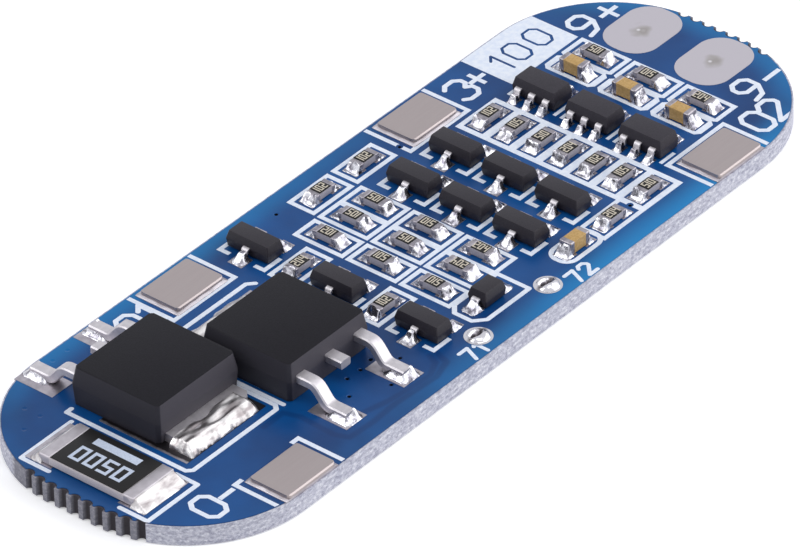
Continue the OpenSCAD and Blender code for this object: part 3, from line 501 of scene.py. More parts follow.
# the sides are painted greyer than the top: painted sheen, as they mirror the white floor
shader = power_epoxy.node_tree.nodes["Principled BSDF"]
normal = add(power_epoxy, "ShaderNodeTexCoord").outputs["Normal"]
upright = add(power_epoxy, "ShaderNodeSeparateXYZ", {"Vector": normal})
flatness = add(power_epoxy, "ShaderNodeMath", {0: upright.outputs["Z"]}, operation="ABSOLUTE")
side_sheen = add(power_epoxy, "ShaderNodeMapRange", {"Value": flatness, "From Min": 0.3,
                                                 "From Max": 0.7, "To Min": 0.85, "To Max": 0.0})
black = shader.inputs["Base Color"].links[0].from_socket
with_side_sheen = add(power_epoxy, "ShaderNodeMix", {0: side_sheen, 6: black, 7: linear("#37363d")},
             data_type="RGBA")
# the two faces that metal comes out of are painted paler still, as painted light
facing = add(power_epoxy, "ShaderNodeMath", {0: upright.outputs["Y"]}, operation="ABSOLUTE")
end_light = add(power_epoxy, "ShaderNodeMapRange", {"Value": facing, "From Min": 0.75,
                                                  "From Max": 0.95, "To Min": 0.0, "To Max": 0.6})
paler = add(power_epoxy, "ShaderNodeMix", {0: end_light, 6: with_side_sheen, 7: linear("#56535a")},
            data_type="RGBA")
wire(power_epoxy, shader, {"Base Color": paler})

# %% Small cases, glaze, ceramics and value inks
# moulded epoxy of the three-lead cases: black-brown, soft shine
small_epoxy = grained("small_case_epoxy_moulded", "#2a272e", "#221f26", 0.45, 0.07, 0.006,
                      Specular_IOR_Level=0.3)
# moulded epoxy of the six-lead cases: a paler filler, duller
monitor_epoxy = grained("monitor_case_epoxy_moulded", "#302d35", "#28252c", 0.52, 0.07, 0.006,
                        Specular_IOR_Level=0.3)
# printed and fired glass: blackest, with a broad sheen
glaze = grained("resistor_glaze_printed_glass", "#131112", "#0e0c0d", 0.4, 0.1, 0.003,
                Specular_IOR_Level=0.25)
# pressed and fired alumina, seen at the chips' sides and the shunt's: white, painted grey here as
# shade
alumina = grained("alumina_body_painted_shade", "#a9a5ad", "#9a96a0", 0.6, 0.05, 0.004)
# pressed and fired barium titanate: tan, with darker clouds
dielectric = grained("capacitor_ceramic_fired", "#c29f66", "#b08c50", 0.5, 0.12, 0.004)
# the shunt's bar, the same ceramic with no painted shade: whiter
bar_alumina = grained("alumina_bar_fired", "#cdc7ca", "#bcb6ba", 0.6, 0.05, 0.004)
# value inks, printed through a stencil: matt cream on the chips, cool white on the shunt
cream = grained("value_ink_cream_printed", "#d9d0bf", "#cbc2b1", 0.6, 0.08, 0.002)
chalk = grained("value_ink_white_printed", "#c5cfe2", "#b8c3d8", 0.6, 0.08, 0.002)

# %% [markdown]
# ### Output pads
# The two large pads are tinned flat for a soldering iron. Each shows a small dent near its
# middle, where a test pin pressed the tin, drawn as a painted highlight, a bright dot, with
# painted shade, a darker ring, beside it. A dent could be cut in the pad, but it would be
# thinner than the tin, so colour and bump draw it.

# %% Output pad: hot-tinned copper with a pin mark
pin_pads, shader, place = finish("copper_pad_tinned_pin_marked", "#cbc6cc", 0.46, metallic=1.0)
marks, glint_spots = [], []
for name in ("pad_p_plus", "pad_p_minus"):
    low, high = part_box(name)
    mid = (low + high) / 2
    for found, shift in ((marks, (0.0, 0.0)), (glint_spots, (-0.14, 0.18))):
        spot = (mid.x + shift[0] * MM, mid.y + shift[1] * MM, high.z)
        found.append(add(pin_pads, "ShaderNodeVectorMath", {0: place, 1: spot},
                         operation="DISTANCE"))
wobble = add(pin_pads, "ShaderNodeTexNoise", {"Vector": place, "Scale": per(0.75), "Detail": 1.0})
spread = add(pin_pads, "ShaderNodeMath", {
    0: wobble, 1: 0.9 * MM, 2: nearest(pin_pads, marks)}, operation="MULTIPLY_ADD")
spread = add(pin_pads, "ShaderNodeMath", {0: spread, 1: 1.5 * MM}, operation="DIVIDE")
# painted shade: a darker ring round each dent, also used as its bump
dent_shade = add(pin_pads, "ShaderNodeValToRGB", {"Fac": spread})
steps(dent_shade, (0.3, "#aaa5a4"), (0.42, "#9f9a98"), (0.56, "#aba6a6"), (0.76, "#beb9bf"))
# painted highlight: a bright dot on one side of each dent
painted_glint = add(pin_pads, "ShaderNodeMapRange", {
    "Value": nearest(pin_pads, glint_spots), "From Min": 0.05 * MM, "From Max": 0.14 * MM,
    "To Min": 1.0, "To Max": 0.0})
pressed = add(pin_pads, "ShaderNodeMix", {0: painted_glint, 6: dent_shade, 7: linear("#d4d1d4")},
              data_type="RGBA")
dent = add(pin_pads, "ShaderNodeBump", {"Height": dent_shade, "Strength": 0.4, "Distance": 0.05 * MM})
wire(pin_pads, shader, {"Base Color": pressed, "Normal": dent})
print("made", pin_pads.name)

# %% [markdown]
# ## Dressing the solids
# Every bare solid first gets the finish of its real material, so nothing stays grey while the
# finer pieces are built. The nodes are picked by the endings of their names instead of one by
# one, so a part that is added to the frame later is dressed too.


# %% Dress the solids
def dress(material, *names):
    """Puts a material on every face of some CAD nodes."""
    for name in names:
        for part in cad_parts[name].material_slots:
            part.material = material


def ending(*tails):
    """The CAD nodes whose names end so."""
    return [n for n in every if n.endswith(tails)]


def starting(*heads):
    """The CAD nodes whose names start so."""
    return [n for n in every if n.startswith(heads)]


dress(laminate, "board_laminate")
dress(mask, "mask_top", "mask_bottom")
dress(ink, "legend_print")
dress(tinned, "pads_cell_tabs", "pads_parts")
dress(pin_pads, "pad_p_plus", "pad_p_minus")
dress(nickel, *starting("cell_tab"))
dress(lead_tin, *ending("_leads", "_slug"))
dress(solder, *starting("solder", "sense"))
dress(small_epoxy, *ending("_case"))
dress(power_epoxy, "mosfet_a_case", "mosfet_b_case")
dress(monitor_epoxy, *[n for n in starting("monitor") if n.endswith("_case")])
dress(alumina, "resistor_cores", "shunt_core")
dress(terminal, "resistor_caps", "capacitor_caps", "shunt_caps")
dress(glaze, "resistor_glazes", "shunt_glaze")
dress(dielectric, "capacitor_cores")
print("dressed", len(every), "solids")

# %% [markdown]
# ## Finding each small solid
# Twenty-four resistors share one node. Their places could be typed in as a list, but then they
# would not follow a changed frame. So they are read from the node: its mesh is welded and split
# into groups of joined corners, and each group gives one box.


# %% Boxes of the separate solids in a node
def welded(name):
    """The mesh of a CAD node as a bmesh, with doubled corners joined."""
    bm = bmesh.new()
    bm.from_mesh(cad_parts[name].data)
    bmesh.ops.remove_doubles(bm, verts=bm.verts, dist=1e-6)
    return bm


def groups(bm):
    """The places of the corners in each separate part of a bmesh, which is freed."""
    done, found = set(), []
    for vert in bm.verts:
        if vert in done:
            continue
        stack, group = [vert], []
        done.add(vert)
        while stack:
            v = stack.pop()
            group.append(v.co.copy())
            for e in v.link_edges:
                w = e.other_vert(v)
                if w not in done:
                    done.add(w)
                    stack.append(w)
        found.append(group)
    bm.free()
    return found


def box_of(group):
    """The low and the high corner of the box round some places."""
    return tuple(Vector([pick(c[i] for c in group) for i in range(3)]) for pick in (min, max))


def islands(name):
    """A box for each separate solid of a CAD node, from left to right."""
    return sorted(map(box_of, groups(welded(name))),
                  key=lambda b: (round(b[0].x, 5), round(b[0].y, 5), b[0].z))


def long_axis(low, high):
    """0 for a box that is longer along x, and 1 for one that is longer along y."""
    return 0 if high.x - low.x > high.y - low.y else 1


pad_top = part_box("pads_parts")[1].z
cap_over = Vector((0.02, 0.02, 0.02)) * MM      # the end caps stand this far outside a chip's core
chips = [(low - cap_over, high + cap_over) for low, high in islands("resistor_cores")]
caps = [(low - cap_over, high + cap_over) for low, high in islands("capacitor_cores")]
print(len(chips), "resistors and", len(caps), "capacitors found")

# %% [markdown]
# ## From a bmesh to a piece
# Every finer piece ends the same way: smooth shading that keeps sharp edges, one material, a
# ride on the board, and the CAD nodes it stands for hidden. Many pieces are rings of points
# joined by faces, so that is a helper too.


# %% New pieces
def settle(name, bm, material, slot, *nodes, sharp=35.0):
    """Turns a bmesh into a piece. Edges bent by more than sharp degrees stay hard."""
    bmesh.ops.recalc_face_normals(bm, faces=bm.faces)
    mesh = bpy.data.meshes.new(name)
    bm.to_mesh(mesh)
    bm.free()
    mesh.shade_smooth()
    mesh.set_sharp_from_angle(angle=math.radians(sharp))
    mesh.materials.append(material)
    piece = bpy.data.objects.new(name, mesh)
    bpy.context.scene.collection.objects.link(piece)
    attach(piece, "root")
    if nodes:
        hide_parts(*nodes)
    print(name, len(mesh.polygons), "faces")


def join_rings(bm, rings, upwards=True):
    """Faces between each ring and the next. A ring may be one point repeated."""
    made = []
    for a, b in zip(rings, rings[1:]):
        for i in range(len(a)):
            j = (i + 1) % len(a)
            corners = (a[i], a[j], b[j], b[i]) if upwards else (a[i], b[i], b[j], a[j])
            made.append(bm.faces.new(list(dict.fromkeys(corners))))
    return made


def circle(bm, x, y, z, radius, count):
    """A ring of count points round (x, y)."""
    turns = [2 * math.pi * i / count for i in range(count)]
    return [bm.verts.new((x + radius * math.cos(t), y + radius * math.sin(t), z)) for t in turns]


print("piece helpers ready")

# %% [markdown]
# ## Lacquer over the vias
# A via is a tiny plated hole that joins the two copper sides. The liquid mask sags into it
# before it cures: at the shunt's end it closed over each hole as a shallow dish, elsewhere a
# pinhole stayed open. Bump alone would leave the hole in the solid open, so the dishes are
# meshes. The holes are found as the small round walls in the mask's own solid.


# %% Round holes in the mask
def small_holes(name, widest):
    """(x, y, radius, top, bottom) of the round holes narrower than widest."""
    bm = welded(name)
    level_faces = [f for f in bm.faces if abs(f.normal.z) > 0.5]
    bmesh.ops.delete(bm, geom=level_faces, context="FACES")
    found = []
    for group in groups(bm):
        low, high = box_of(group)
        wide, long = high.x - low.x, high.y - low.y
        if len(group) > 8 and wide < widest and abs(wide - long) < 0.05 * MM:
            found.append(((high.x + low.x) / 2, (high.y + low.y) / 2, wide / 2, high.z, low.z))
    return sorted(found)


vias = small_holes("mask_top", 0.7 * MM)
print(len(vias), "vias")

# %% Dishes of lacquer over the vias
bm = bmesh.new()
shunt_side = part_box("mosfet_a_case")[1].x      # left of this the lacquer closed the holes
for x, y, radius, top, under in vias:
    inner, sag_mm = (0.0, 0.03) if x < shunt_side else (0.7, 0.06)
    rings = []
    for k in range(5):
        share = inner + (1.02 - inner) * k / 4
        z = top - max(0.0, 1 - share ** 2) * sag_mm * MM
        if share:
            rings.append(circle(bm, x, y, max(z, under), radius * share, 16))
        else:
            rings.append([bm.verts.new((x, y, z))] * 16)
    join_rings(bm, rings, upwards=False)
settle("mask_dishes_over_vias", bm, mask, "solder_mask")

# %% [markdown]
# ## Moulded cases
# A case has two halves that lean away from the parting line, and every edge is slightly
# rounded by the tool. A Bevel modifier on the solid would round the edges but give no lean. So
# it is built as three rings of eight points joined by faces, with a small bevel on all edges.


# %% Case builder
def case_ring(bm, low, high, z, cut):
    """The outline of a case at one height, with its corners cut off."""
    spots = [(low.x + cut, low.y), (high.x - cut, low.y), (high.x, low.y + cut),
             (high.x, high.y - cut), (high.x - cut, high.y), (low.x + cut, high.y),
             (low.x, high.y - cut), (low.x, low.y + cut)]
    return [bm.verts.new((x, y, z)) for x, y in spots]


def moulded_case(name, material, parting, top_in, low_in, cut, soft):
    """parting is the parting line's height in metres. The other lengths are in mm: how far
    the case leans in above and below that line, its corners' cut, and its soft edges."""
    low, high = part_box(name)
    bm = bmesh.new()
    inset = Vector((top_in, top_in, 0)) * MM
    under = Vector((low_in, low_in, 0)) * MM
    rings = [case_ring(bm, low + under, high - under, low.z, cut * MM),
             case_ring(bm, low, high, low.z + parting, cut * MM),
             case_ring(bm, low + inset, high - inset, high.z, cut * MM * 0.9)]
    faces = [bm.faces.new(list(reversed(rings[0]))), bm.faces.new(rings[2])]
    faces += join_rings(bm, rings)
    bmesh.ops.bevel(bm, geom=list({e for f in faces for e in f.edges}), offset=soft * MM,
                    segments=2, profile=0.6, affect="EDGES", clamp_overlap=True)
    settle(name + "_moulding", bm, material, "mould_compound", name)


for name in ("mosfet_a_case", "mosfet_b_case"):
    moulded_case(name, power_epoxy, parting=1.23 * MM, top_in=0.18, low_in=0.08, cut=0.2,
                 soft=0.045)

# %% Small cases
# their parting line is a little below half height
small_parts = [n[:-5] for n in ending("_case") if not n.startswith("mosfet")]
for part in small_parts:
    low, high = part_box(part + "_case")
    moulded_case(part + "_case", monitor_epoxy if part.startswith("monitor") else small_epoxy,
                 parting=(high.z - low.z) * 0.49, top_in=0.13, low_in=0.06, cut=0.04, soft=0.03)

# %% [markdown]
# ## Bent leads
# A lead is a flat strip pressed into an S: out of the case, down, and along the pad. A curve
# with a profile could sweep it, but the profile may twist at the bends. So the strip is swept
# here, along a path whose corners are rounded, with an eight-sided section whose edges catch
# the light.


# %% Strip builder
def rounded(path, radius, count=4):
    """Rounds the corners of a path of (run, height) points."""
    points = [Vector(path[0])]
    for a, b, c in zip(path, path[1:], path[2:]):
        a, b, c = Vector(a), Vector(b), Vector(c)
        p0 = b + (a - b).normalized() * min(radius, (b - a).length * 0.48)
        p2 = b + (c - b).normalized() * min(radius, (c - b).length * 0.48)
        for k in range(count + 1):
            t = k / count
            points.append(p0 * (1 - t) ** 2 + b * 2 * t * (1 - t) + p2 * t * t)
    points.append(Vector(path[-1]))
    return points


def strip(bm, origin, along, path, width, thick):
    """Sweeps a flat strip. path is (run, height) of its middle, in metres from origin."""
    up = Vector((0, 0, 1))
    across = up.cross(along)
    c = thick * 0.14      # the broken edges
    w, t = width / 2, thick / 2
    section = [(c - w, -t), (w - c, -t), (w, c - t), (w, t - c), (w - c, t), (c - w, t),
               (-w, t - c), (-w, c - t)]
    rows = []
    for i, spot in enumerate(path):
        d = (path[min(i + 1, len(path) - 1)] - path[max(i - 1, 0)]).normalized()
        out = up * d.x - along * d.y
        middle = origin + along * spot.x + up * spot.y
        rows.append([bm.verts.new(middle + across * u + out * v) for u, v in section])
    join_rings(bm, rows)
    bm.faces.new(list(reversed(rows[0])))
    bm.faces.new(rows[-1])


print("strip builder ready")

# %% [markdown]
# ### Leads of the power transistors
# Each case has two long leads that step down to their pads, and between them a middle one that
# is cut short, because the drain tab does its work. They could be drawn one by one. Here the
# length of each lead's box says which kind it is.


# %% Power transistor leads: two long ones and a short cut one
def power_leads(node, toward):
    """toward is 1 for leads that point to the back, and -1 for the front."""
    thick, down_from, down_to, bend = 0.5 * MM, 1.5 * MM, 2.3 * MM, 0.3 * MM
    bm = bmesh.new()
    for low, high in islands(node):
        begin = low.y if toward > 0 else high.y
        reach = high.y - low.y
        top, foot = high.z - thick / 2, low.z + thick / 2
        if reach > 2 * MM:
            path = rounded([(0, top), (down_from, top), (down_to, foot), (reach, foot)], bend)
        else:
            path = [Vector((run, top)) for run in (0, reach - 0.06 * MM, reach)]
        strip(bm, Vector(((low.x + high.x) / 2, begin, 0)), Vector((0, toward, 0)), path,
              high.x - low.x, thick)
    settle(node + "_formed", bm, lead_tin, "lead_tin", node)


power_leads("mosfet_a_leads", 1)
power_leads("mosfet_b_leads", -1)

# %% [markdown]
# ### Small leads
# The small cases stand on short gull wings, which leave them sideways at half height. The side
# is found from the middle of the case, so one rule serves three leads or six.


# %% Small leads
def outward(low, high, middle):
    """1 for a lead on the right side of its case, and -1 for one on the left."""
    return 1 if (low.x + high.x) / 2 > middle.x else -1


def small_leads(part):
    """The leads of a small case, 0.13 mm thick, which step down soon after they leave it."""
    thick, down_from, down_to, bend = 0.13 * MM, 0.27 * MM, 0.42 * MM, 0.12 * MM
    middle = sum(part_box(part + "_case"), Vector()) / 2
    bm = bmesh.new()
    for low, high in islands(part + "_leads"):
        out = outward(low, high, middle)
        begin = low.x if out > 0 else high.x
        top, foot = high.z - thick / 2, low.z + thick / 2
        path = rounded([(0, top), (down_from, top), (down_to, foot), (high.x - low.x, foot)], bend)
        strip(bm, Vector((begin, (low.y + high.y) / 2, 0)), Vector((out, 0, 0)), path,
              high.y - low.y, thick)
    settle(part + "_leads_formed", bm, lead_tin, "lead_tin", part + "_leads")


for part in small_parts:
    small_leads(part)

# %% [markdown]
# ## Chip resistors and capacitors
# A chip resistor is a slip of alumina with metal wrapped round both ends and a black glaze on
# top. The plating rounds every edge of the ends and leaves them slightly lumpy. A capacitor is
# a block of tan ceramic with the same ends. A subdivided cube would lose its flat faces, so
# these are boxes with bevelled edges, and a low noise nudges the bevel's points.


# %% Soft box builder
def soft_box(bm, low, high, edge, lumps=0.0, seed=0):
    """A box with rounded edges. lumps is how far noise may push their points."""
    made = bmesh.ops.create_cube(bm, size=1.0)["verts"]
    for v in made:
        v.co = Vector([low[i] if v.co[i] < 0 else high[i] for i in range(3)])
    sides = list({e for v in made for e in v.link_edges})
    cut = bmesh.ops.bevel(bm, geom=sides, offset=edge, segments=3, profile=0.5, affect="EDGES",
                          clamp_overlap=True)
    for v in {v for f in cut["faces"] for v in f.verts}:
        if lumps:
            p = v.co / MM * 2.2 + Vector((seed * 1.7, 0, 0))
            v.co += Vector((noise.noise(p), noise.noise(p + Vector((9, 0, 0))),
                            noise.noise(p + Vector((0, 9, 0))))) * lumps


def chip_meshes(boxes, metal_long, body_edge, metal_edge, seed):
    """The ceramic bodies and the metal ends of some chips, as two bmeshes."""
    body, metal_ends = bmesh.new(), bmesh.new()
    for n, (low, high) in enumerate(boxes):
        soft_box(body, low + cap_over, high - cap_over, body_edge)
        axis = long_axis(low, high)
        first, last = high.copy(), low.copy()
        first[axis] = low[axis] + metal_long
        last[axis] = high[axis] - metal_long
        for k, (a, b) in enumerate(((low, first), (last, high))):
            soft_box(metal_ends, a, b, metal_edge, lumps=0.02 * MM, seed=seed + n * 2 + k)
    return body, metal_ends


print("chip builder ready")

# %% Resistors
body, metal_ends = chip_meshes(chips, metal_long=0.32 * MM, body_edge=0.02 * MM,
                               metal_edge=0.07 * MM, seed=0)
coats = bmesh.new()
for low, high in islands("resistor_glazes"):
    soft_box(coats, low, high, 0.02 * MM)
settle("resistor_bodies", body, alumina, "white_ceramic", "resistor_cores")
settle("resistor_terminals", metal_ends, terminal, "terminal_tin", "resistor_caps")
settle("resistor_coats", coats, glaze, "black_glaze", "resistor_glazes")

# %% Capacitors
body, metal_ends = chip_meshes(caps, metal_long=0.36 * MM, body_edge=0.04 * MM,
                               metal_edge=0.09 * MM, seed=70)
settle("capacitor_bodies", body, dielectric, "tan_ceramic", "capacitor_cores")
settle("capacitor_terminals", metal_ends, terminal, "terminal_tin", "capacitor_caps")

# %% [markdown]
# ## Shunt
# The shunt is one large chip: a white alumina bar with thick tinned ends and a black coat. Its
# three parts are made with the same soft box, each straight from the box of its own solid.

# %% Shunt
body = bmesh.new()
soft_box(body, *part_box("shunt_core"), 0.04 * MM)
settle("shunt_body", body, bar_alumina, "white_ceramic", "shunt_core")
metal_ends = bmesh.new()
for k, (a, b) in enumerate(islands("shunt_caps")):
    soft_box(metal_ends, a, b, 0.09 * MM, lumps=0.015 * MM, seed=90 + k)
settle("shunt_terminals", metal_ends, bar_tin, "terminal_tin", "shunt_caps")
coats = bmesh.new()
soft_box(coats, *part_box("shunt_glaze"), 0.035 * MM)
settle("shunt_coat", coats, glaze, "black_glaze", "shunt_glaze")

# %% [markdown]
# ## Printed numbers
# Each resistor carries a value in plain block numerals, as printed through a stencil. A text
# object would bring rounded outlines and thousands of faces. Here a numeral is a grid of three
# columns and five rows, where the outer columns and every other row are one pen stroke wide.
# The filled cells become one flat raised patch, so that no two faces overlap.

# %% Numerals
CELLS = {
    "0": ("xxx", "x.x", "x.x", "x.x", "xxx"),
    "1": ("x", "x", "x", "x", "x"),
    "2": ("xxx", "..x", "xxx", "x..", "xxx"),
    "4": ("x.x", "x.x", "xxx", "..x", "..x"),
    "5": ("xxx", "x..", "xxx", "..x", "xxx"),
}


def drop_rim(bm, faces, z):
    """Walls from the border of a patch of faces down to a height."""
    border = list({e for f in faces for e in f.edges if len(e.link_faces) == 1})
    for v in bmesh.ops.extrude_edge_only(bm, edges=border)["geom"]:
        if isinstance(v, bmesh.types.BMVert):
            v.co.z = z


def print_numerals(bm, text, middle, run, tall, wide, gap, pen, lift):
    """Prints text centred on middle, reading along run. All lengths are in metres."""
    up = Vector((0, 0, 1)).cross(run)
    rows_at = [0, pen, (tall - pen) / 2, (tall + pen) / 2, tall - pen, tall]
    columns_at = [0, pen, wide - pen, wide]
    widths = [pen if sign == "1" else wide for sign in text]
    at = -(sum(widths) + gap * (len(text) - 1)) / 2
    for sign, width in zip(text, widths):
        corners, faces = {}, []
        filled = [(x, y) for y, line in enumerate(CELLS[sign])
                  for x, cell in enumerate(line) if cell == "x"]
        for x, y in filled:
            square = []
            for i, j in ((x, y + 1), (x + 1, y + 1), (x + 1, y), (x, y)):
                if (i, j) not in corners:
                    spot = middle + run * (at + columns_at[i]) + up * (tall / 2 - rows_at[j])
                    corners[i, j] = bm.verts.new(spot + Vector((0, 0, lift)))
                square.append(corners[i, j])
            faces.append(bm.faces.new(square))
        drop_rim(bm, faces, middle.z - lift / 2)
        at += width + gap


print("numerals:", "".join(CELLS))

# %% Values on the resistors
values = bmesh.new()
for n, (low, high) in enumerate(islands("resistor_glazes")):
    run = Vector((0, 1 if n % 3 else -1, 0)) if long_axis(low, high) else Vector((1, 0, 0))
    middle = (low + high) / 2
    middle.z = high.z
    print_numerals(values, ("102", "204", "510", "105")[n % 4], middle, run, tall=0.54 * MM,
                   wide=0.24 * MM, gap=0.075 * MM, pen=0.066 * MM, lift=0.004 * MM)
settle("resistor_values", values, cream, "legend_ink")

# %% [markdown]
# ### Value and bar on the shunt
# The shunt's coat carries four larger numerals and a plain bar above them, in cooler ink. They
# run across the board's width. The bar is a very thin soft box, so it needs no helper.

# %% Value and bar on the shunt
low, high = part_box("shunt_glaze")
middle = (low + high) / 2
middle.z = high.z
run, up = Vector((0, -1, 0)), Vector((1, 0, 0))
plate = bmesh.new()
print_numerals(plate, "0050", middle - up * 0.42 * MM, run, tall=1.2 * MM, wide=0.72 * MM,
               gap=0.2 * MM, pen=0.19 * MM, lift=0.005 * MM)
a, b = middle + up * 0.6 * MM - run * 1.5 * MM, middle + up * 1.12 * MM + run * 1.5 * MM
soft_box(plate, Vector((a.x, b.y, high.z - 0.004 * MM)), Vector((b.x, a.y, high.z + 0.005 * MM)),
         0.002 * MM)
settle("shunt_value", plate, chalk, "legend_ink")

# %% [markdown]
# ## Solder
# Liquid solder wets the metal it touches and pulls itself into a hollow slope from the part
# down to the rim of its pad. Metaballs or a fluid bake would be slow and hard to steer. So the
# slope is a small height field: full height where it touches the part, falling as a power of
# the distance, and cut off where the pad ends. Low noise gives the slow waves that frozen
# solder has, and round lumps sit where it pooled.


# %% Solder joint builder
def joint(bm, pad, wet, height, power=1.3, cells=18, seed=0, grain=(1.2, 1.2), waves=0.1,
          lumps=(), ragged=0.16):
    """pad and wet are (low x, low y, high x, high y), lumps (x, y, radius, height), in metres.
    power hollows the slope, waves and grain make its swell, and ragged frays its shore."""
    x0, y0, x1, y1 = pad
    a0, b0, a1, b1 = wet
    longest = max(x1 - x0, y1 - y0)
    nx = max(7, int(cells * (x1 - x0) / longest))
    ny = max(7, int(cells * (y1 - y0) / longest))
    grid = []
    for i in range(nx + 1):
        line = []
        for j in range(ny + 1):
            x = x0 + (x1 - x0) * i / nx
            y = y0 + (y1 - y0) * j / ny
            dx = max((a0 - x) / max(a0 - x0, 1e-6), (x - a1) / max(x1 - a1, 1e-6), 0.0)
            dy = max((b0 - y) / max(b0 - y0, 1e-6), (y - b1) / max(y1 - b1, 1e-6), 0.0)
            wave = noise.noise(Vector((x / MM * grain[0], y / MM * grain[1], seed * 3.1)))
            shore = noise.noise(Vector((x / MM * 1.6, y / MM * 1.6, seed * 1.3 + 50)))
            # full is 1 against the part and 0 from the frayed shore outwards
            full = max(0.0, 1.0 - math.hypot(dx, dy) * (1.0 + ragged * shore))
            z = pad_top + height * full ** power * (1 + waves * wave)
            z += 0.015 * MM * min(1, full * 8)      # even at the shore it is this thick
            for lx, ly, radius, rise_by in lumps:
                far = ((x - lx) ** 2 + (y - ly) ** 2) / radius ** 2
                z += rise_by * math.exp(-far) * min(1, full * 4)
            line.append((bm.verts.new((x, y, z)), full))
        grid.append(line)
    kept = []
    for a, b in zip(grid, grid[1:]):
        for j in range(ny):
            quad = [a[j], b[j], b[j + 1], a[j + 1]]
            if max(full for v, full in quad) > 0.0:
                kept.append(bm.faces.new([v for v, full in quad]))
    drop_rim(bm, kept, pad_top - 0.01 * MM)
    loose = [v for line in grid for v, full in line if not v.link_faces]
    bmesh.ops.delete(bm, geom=loose, context="VERTS")


def span(at, way, ahead_mm, behind_mm):
    """A stretch from behind a place to ahead of it, as its low and its high end."""
    return sorted((at + way * ahead_mm * MM, at - way * behind_mm * MM))


print("joint builder ready")

# %% [markdown]
# ### At the chip parts
# Each end of a chip stands in a small heap of solder. It was put on from one side, so the end
# nearer the front or the left carries more, and no two heaps are the same.


# %% Solder at the ends of the chip parts
def chip_joints(bm, low, high, climb, seed):
    """A joint at each end of a chip."""
    axis = long_axis(low, high)
    other, past, rest = 1 - axis, 0.1 * MM, 0.03 * MM      # beside the chip, outwards and inwards
    for s in (-1, 1):
        end = high[axis] if s > 0 else low[axis]
        pad, wet = [0.0] * 4, [0.0] * 4
        pad[axis], pad[axis + 2] = span(end, s, 0.445 if s < 0 else 0.43, 0.2)
        wet[axis], wet[axis + 2] = span(end, s, 0.02, 0.07)
        pad[other], pad[other + 2] = low[other] - past, high[other] + past
        wet[other], wet[other + 2] = low[other] + rest, high[other] - rest
        mood = noise.noise(Vector((seed * 0.73, s * 2.1, 3)))
        full = climb * (1.0 if s < 0 else 0.72) * (1 + 0.1 * mood)
        heap = [(pad[0] + pad[2]) / 2, (pad[1] + pad[3]) / 2]
        heap[other] += 0.3 * MM * mood
        joint(bm, pad, wet, full, power=(1.9 if s < 0 else 2.1) + 0.5 * mood, cells=24,
              seed=seed + s, grain=(3.1, 3.1), waves=0.5, lumps=[(*heap, 0.2 * MM, 0.04 * MM)],
              ragged=0.45)


bm = bmesh.new()
for n, (low, high) in enumerate(chips):
    chip_joints(bm, low, high, 0.45 * MM, n * 5)
for n, (low, high) in enumerate(caps):
    chip_joints(bm, low, high, 0.6 * MM, 200 + n * 5)
settle("solder_at_chips", bm, solder, "solder", "solder_chips", sharp=80)

# %% [markdown]
# ### At the small leads
# A foot lies in a low skirt that spreads towards the end of its pad like a fan. The monitors'
# pads are narrow, so their skirts are too.

# %% Solder at the small leads
bm = bmesh.new()
seed = 0
for part in small_parts:
    middle = sum(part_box(part + "_case"), Vector()) / 2
    ahead, beside, climb = (0.2, 0.08, 0.4) if part.startswith("monitor") else (0.42, 0.24, 0.46)
    for low, high in islands(part + "_leads"):
        seed += 1
        out = outward(low, high, middle)
        toe = low.x if out < 0 else high.x
        pad, wet = span(toe, out, ahead, 0.38), span(toe, out, -0.12, 0.34)
        joint(bm, (pad[0], low.y - beside * MM, pad[1], high.y + beside * MM),
              (wet[0], low.y + 0.05 * MM, wet[1], high.y - 0.05 * MM), climb * MM, power=1.55,
              cells=24, seed=seed, grain=(2.4, 2.4), waves=0.3, ragged=0.25)
settle("solder_at_small_leads", bm, solder, "solder", "solder_leads", sharp=80)

# %% [markdown]
# ### At the power transistors
# The two feet carry a skirt each, with a bright blob at the toe. The drain tab is soldered
# along its whole free edge: solder was drawn along it with the iron, which left a long bank
# with streaks and three swells.


# %% Solder at the power transistors' feet
def foot_joints(name, leads_node, toward):
    """toward is the side of the leads: 1 for the back, -1 for the front."""
    bm = bmesh.new()
    half_pad, rest = 0.66 * MM, 0.06 * MM      # the solder touches all but rest of each side
    long_leads = [b for b in islands(leads_node) if b[1].y - b[0].y > 2 * MM]
    for n, (low, high) in enumerate(long_leads):
        toe = high.y if toward > 0 else low.y
        mid = (low.x + high.x) / 2
        pad, wet = span(toe, toward, 0.4, 1.35), span(toe, toward, -0.05, 0.8)
        joint(bm, (mid - half_pad, pad[0], mid + half_pad, pad[1]),
              (low.x + rest, wet[0], high.x - rest, wet[1]), 0.38 * MM, power=1.7,
              cells=34, seed=300 + n, grain=(1.1, 1.1), waves=0.2,
              lumps=[(mid + 0.32 * MM, toe + toward * 0.02 * MM, 0.24 * MM, 0.2 * MM)])
    settle(name, bm, solder, "solder", sharp=80)


print("foot joints ready")


# %% Solder bank along the drain tab
def tab_bank(name, slug_node, toward):
    """toward is the side of the leads, so the bank is at the other side."""
    bm = bmesh.new()
    low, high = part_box(slug_node)
    edge = low.y if toward > 0 else high.y
    pad, wet = span(edge, -toward, 0.8, 0.75), span(edge, -toward, 0.2, 0.75)
    # (along the tab, out from its edge, radius, height) in mm
    swells = ((0.3, 0.4, 0.35, 0.12), (1.9, 0.2, 0.6, 0.03), (3.6, 0.25, 0.5, 0.05))
    joint(bm, (low.x - 0.3 * MM, pad[0], high.x - 0.25 * MM, pad[1]),
          (low.x + 0.05 * MM, wet[0], high.x - 0.6 * MM, wet[1]), 0.53 * MM, power=0.75, cells=110,
          seed=310, grain=(0.8, 2.6), waves=0.22, ragged=0.5,
          lumps=[(low.x + run * MM, edge - toward * out * MM, radius * MM, rise_by * MM)
                 for run, out, radius, rise_by in swells])
    settle(name + "_flow", bm, streaked, "solder", name, sharp=80)


for letter, toward in (("a", 1), ("b", -1)):
    foot_joints(f"solder_mosfet_{letter}_flow_feet", f"mosfet_{letter}_leads", toward)
    tab_bank(f"solder_mosfet_{letter}", f"mosfet_{letter}_slug", toward)

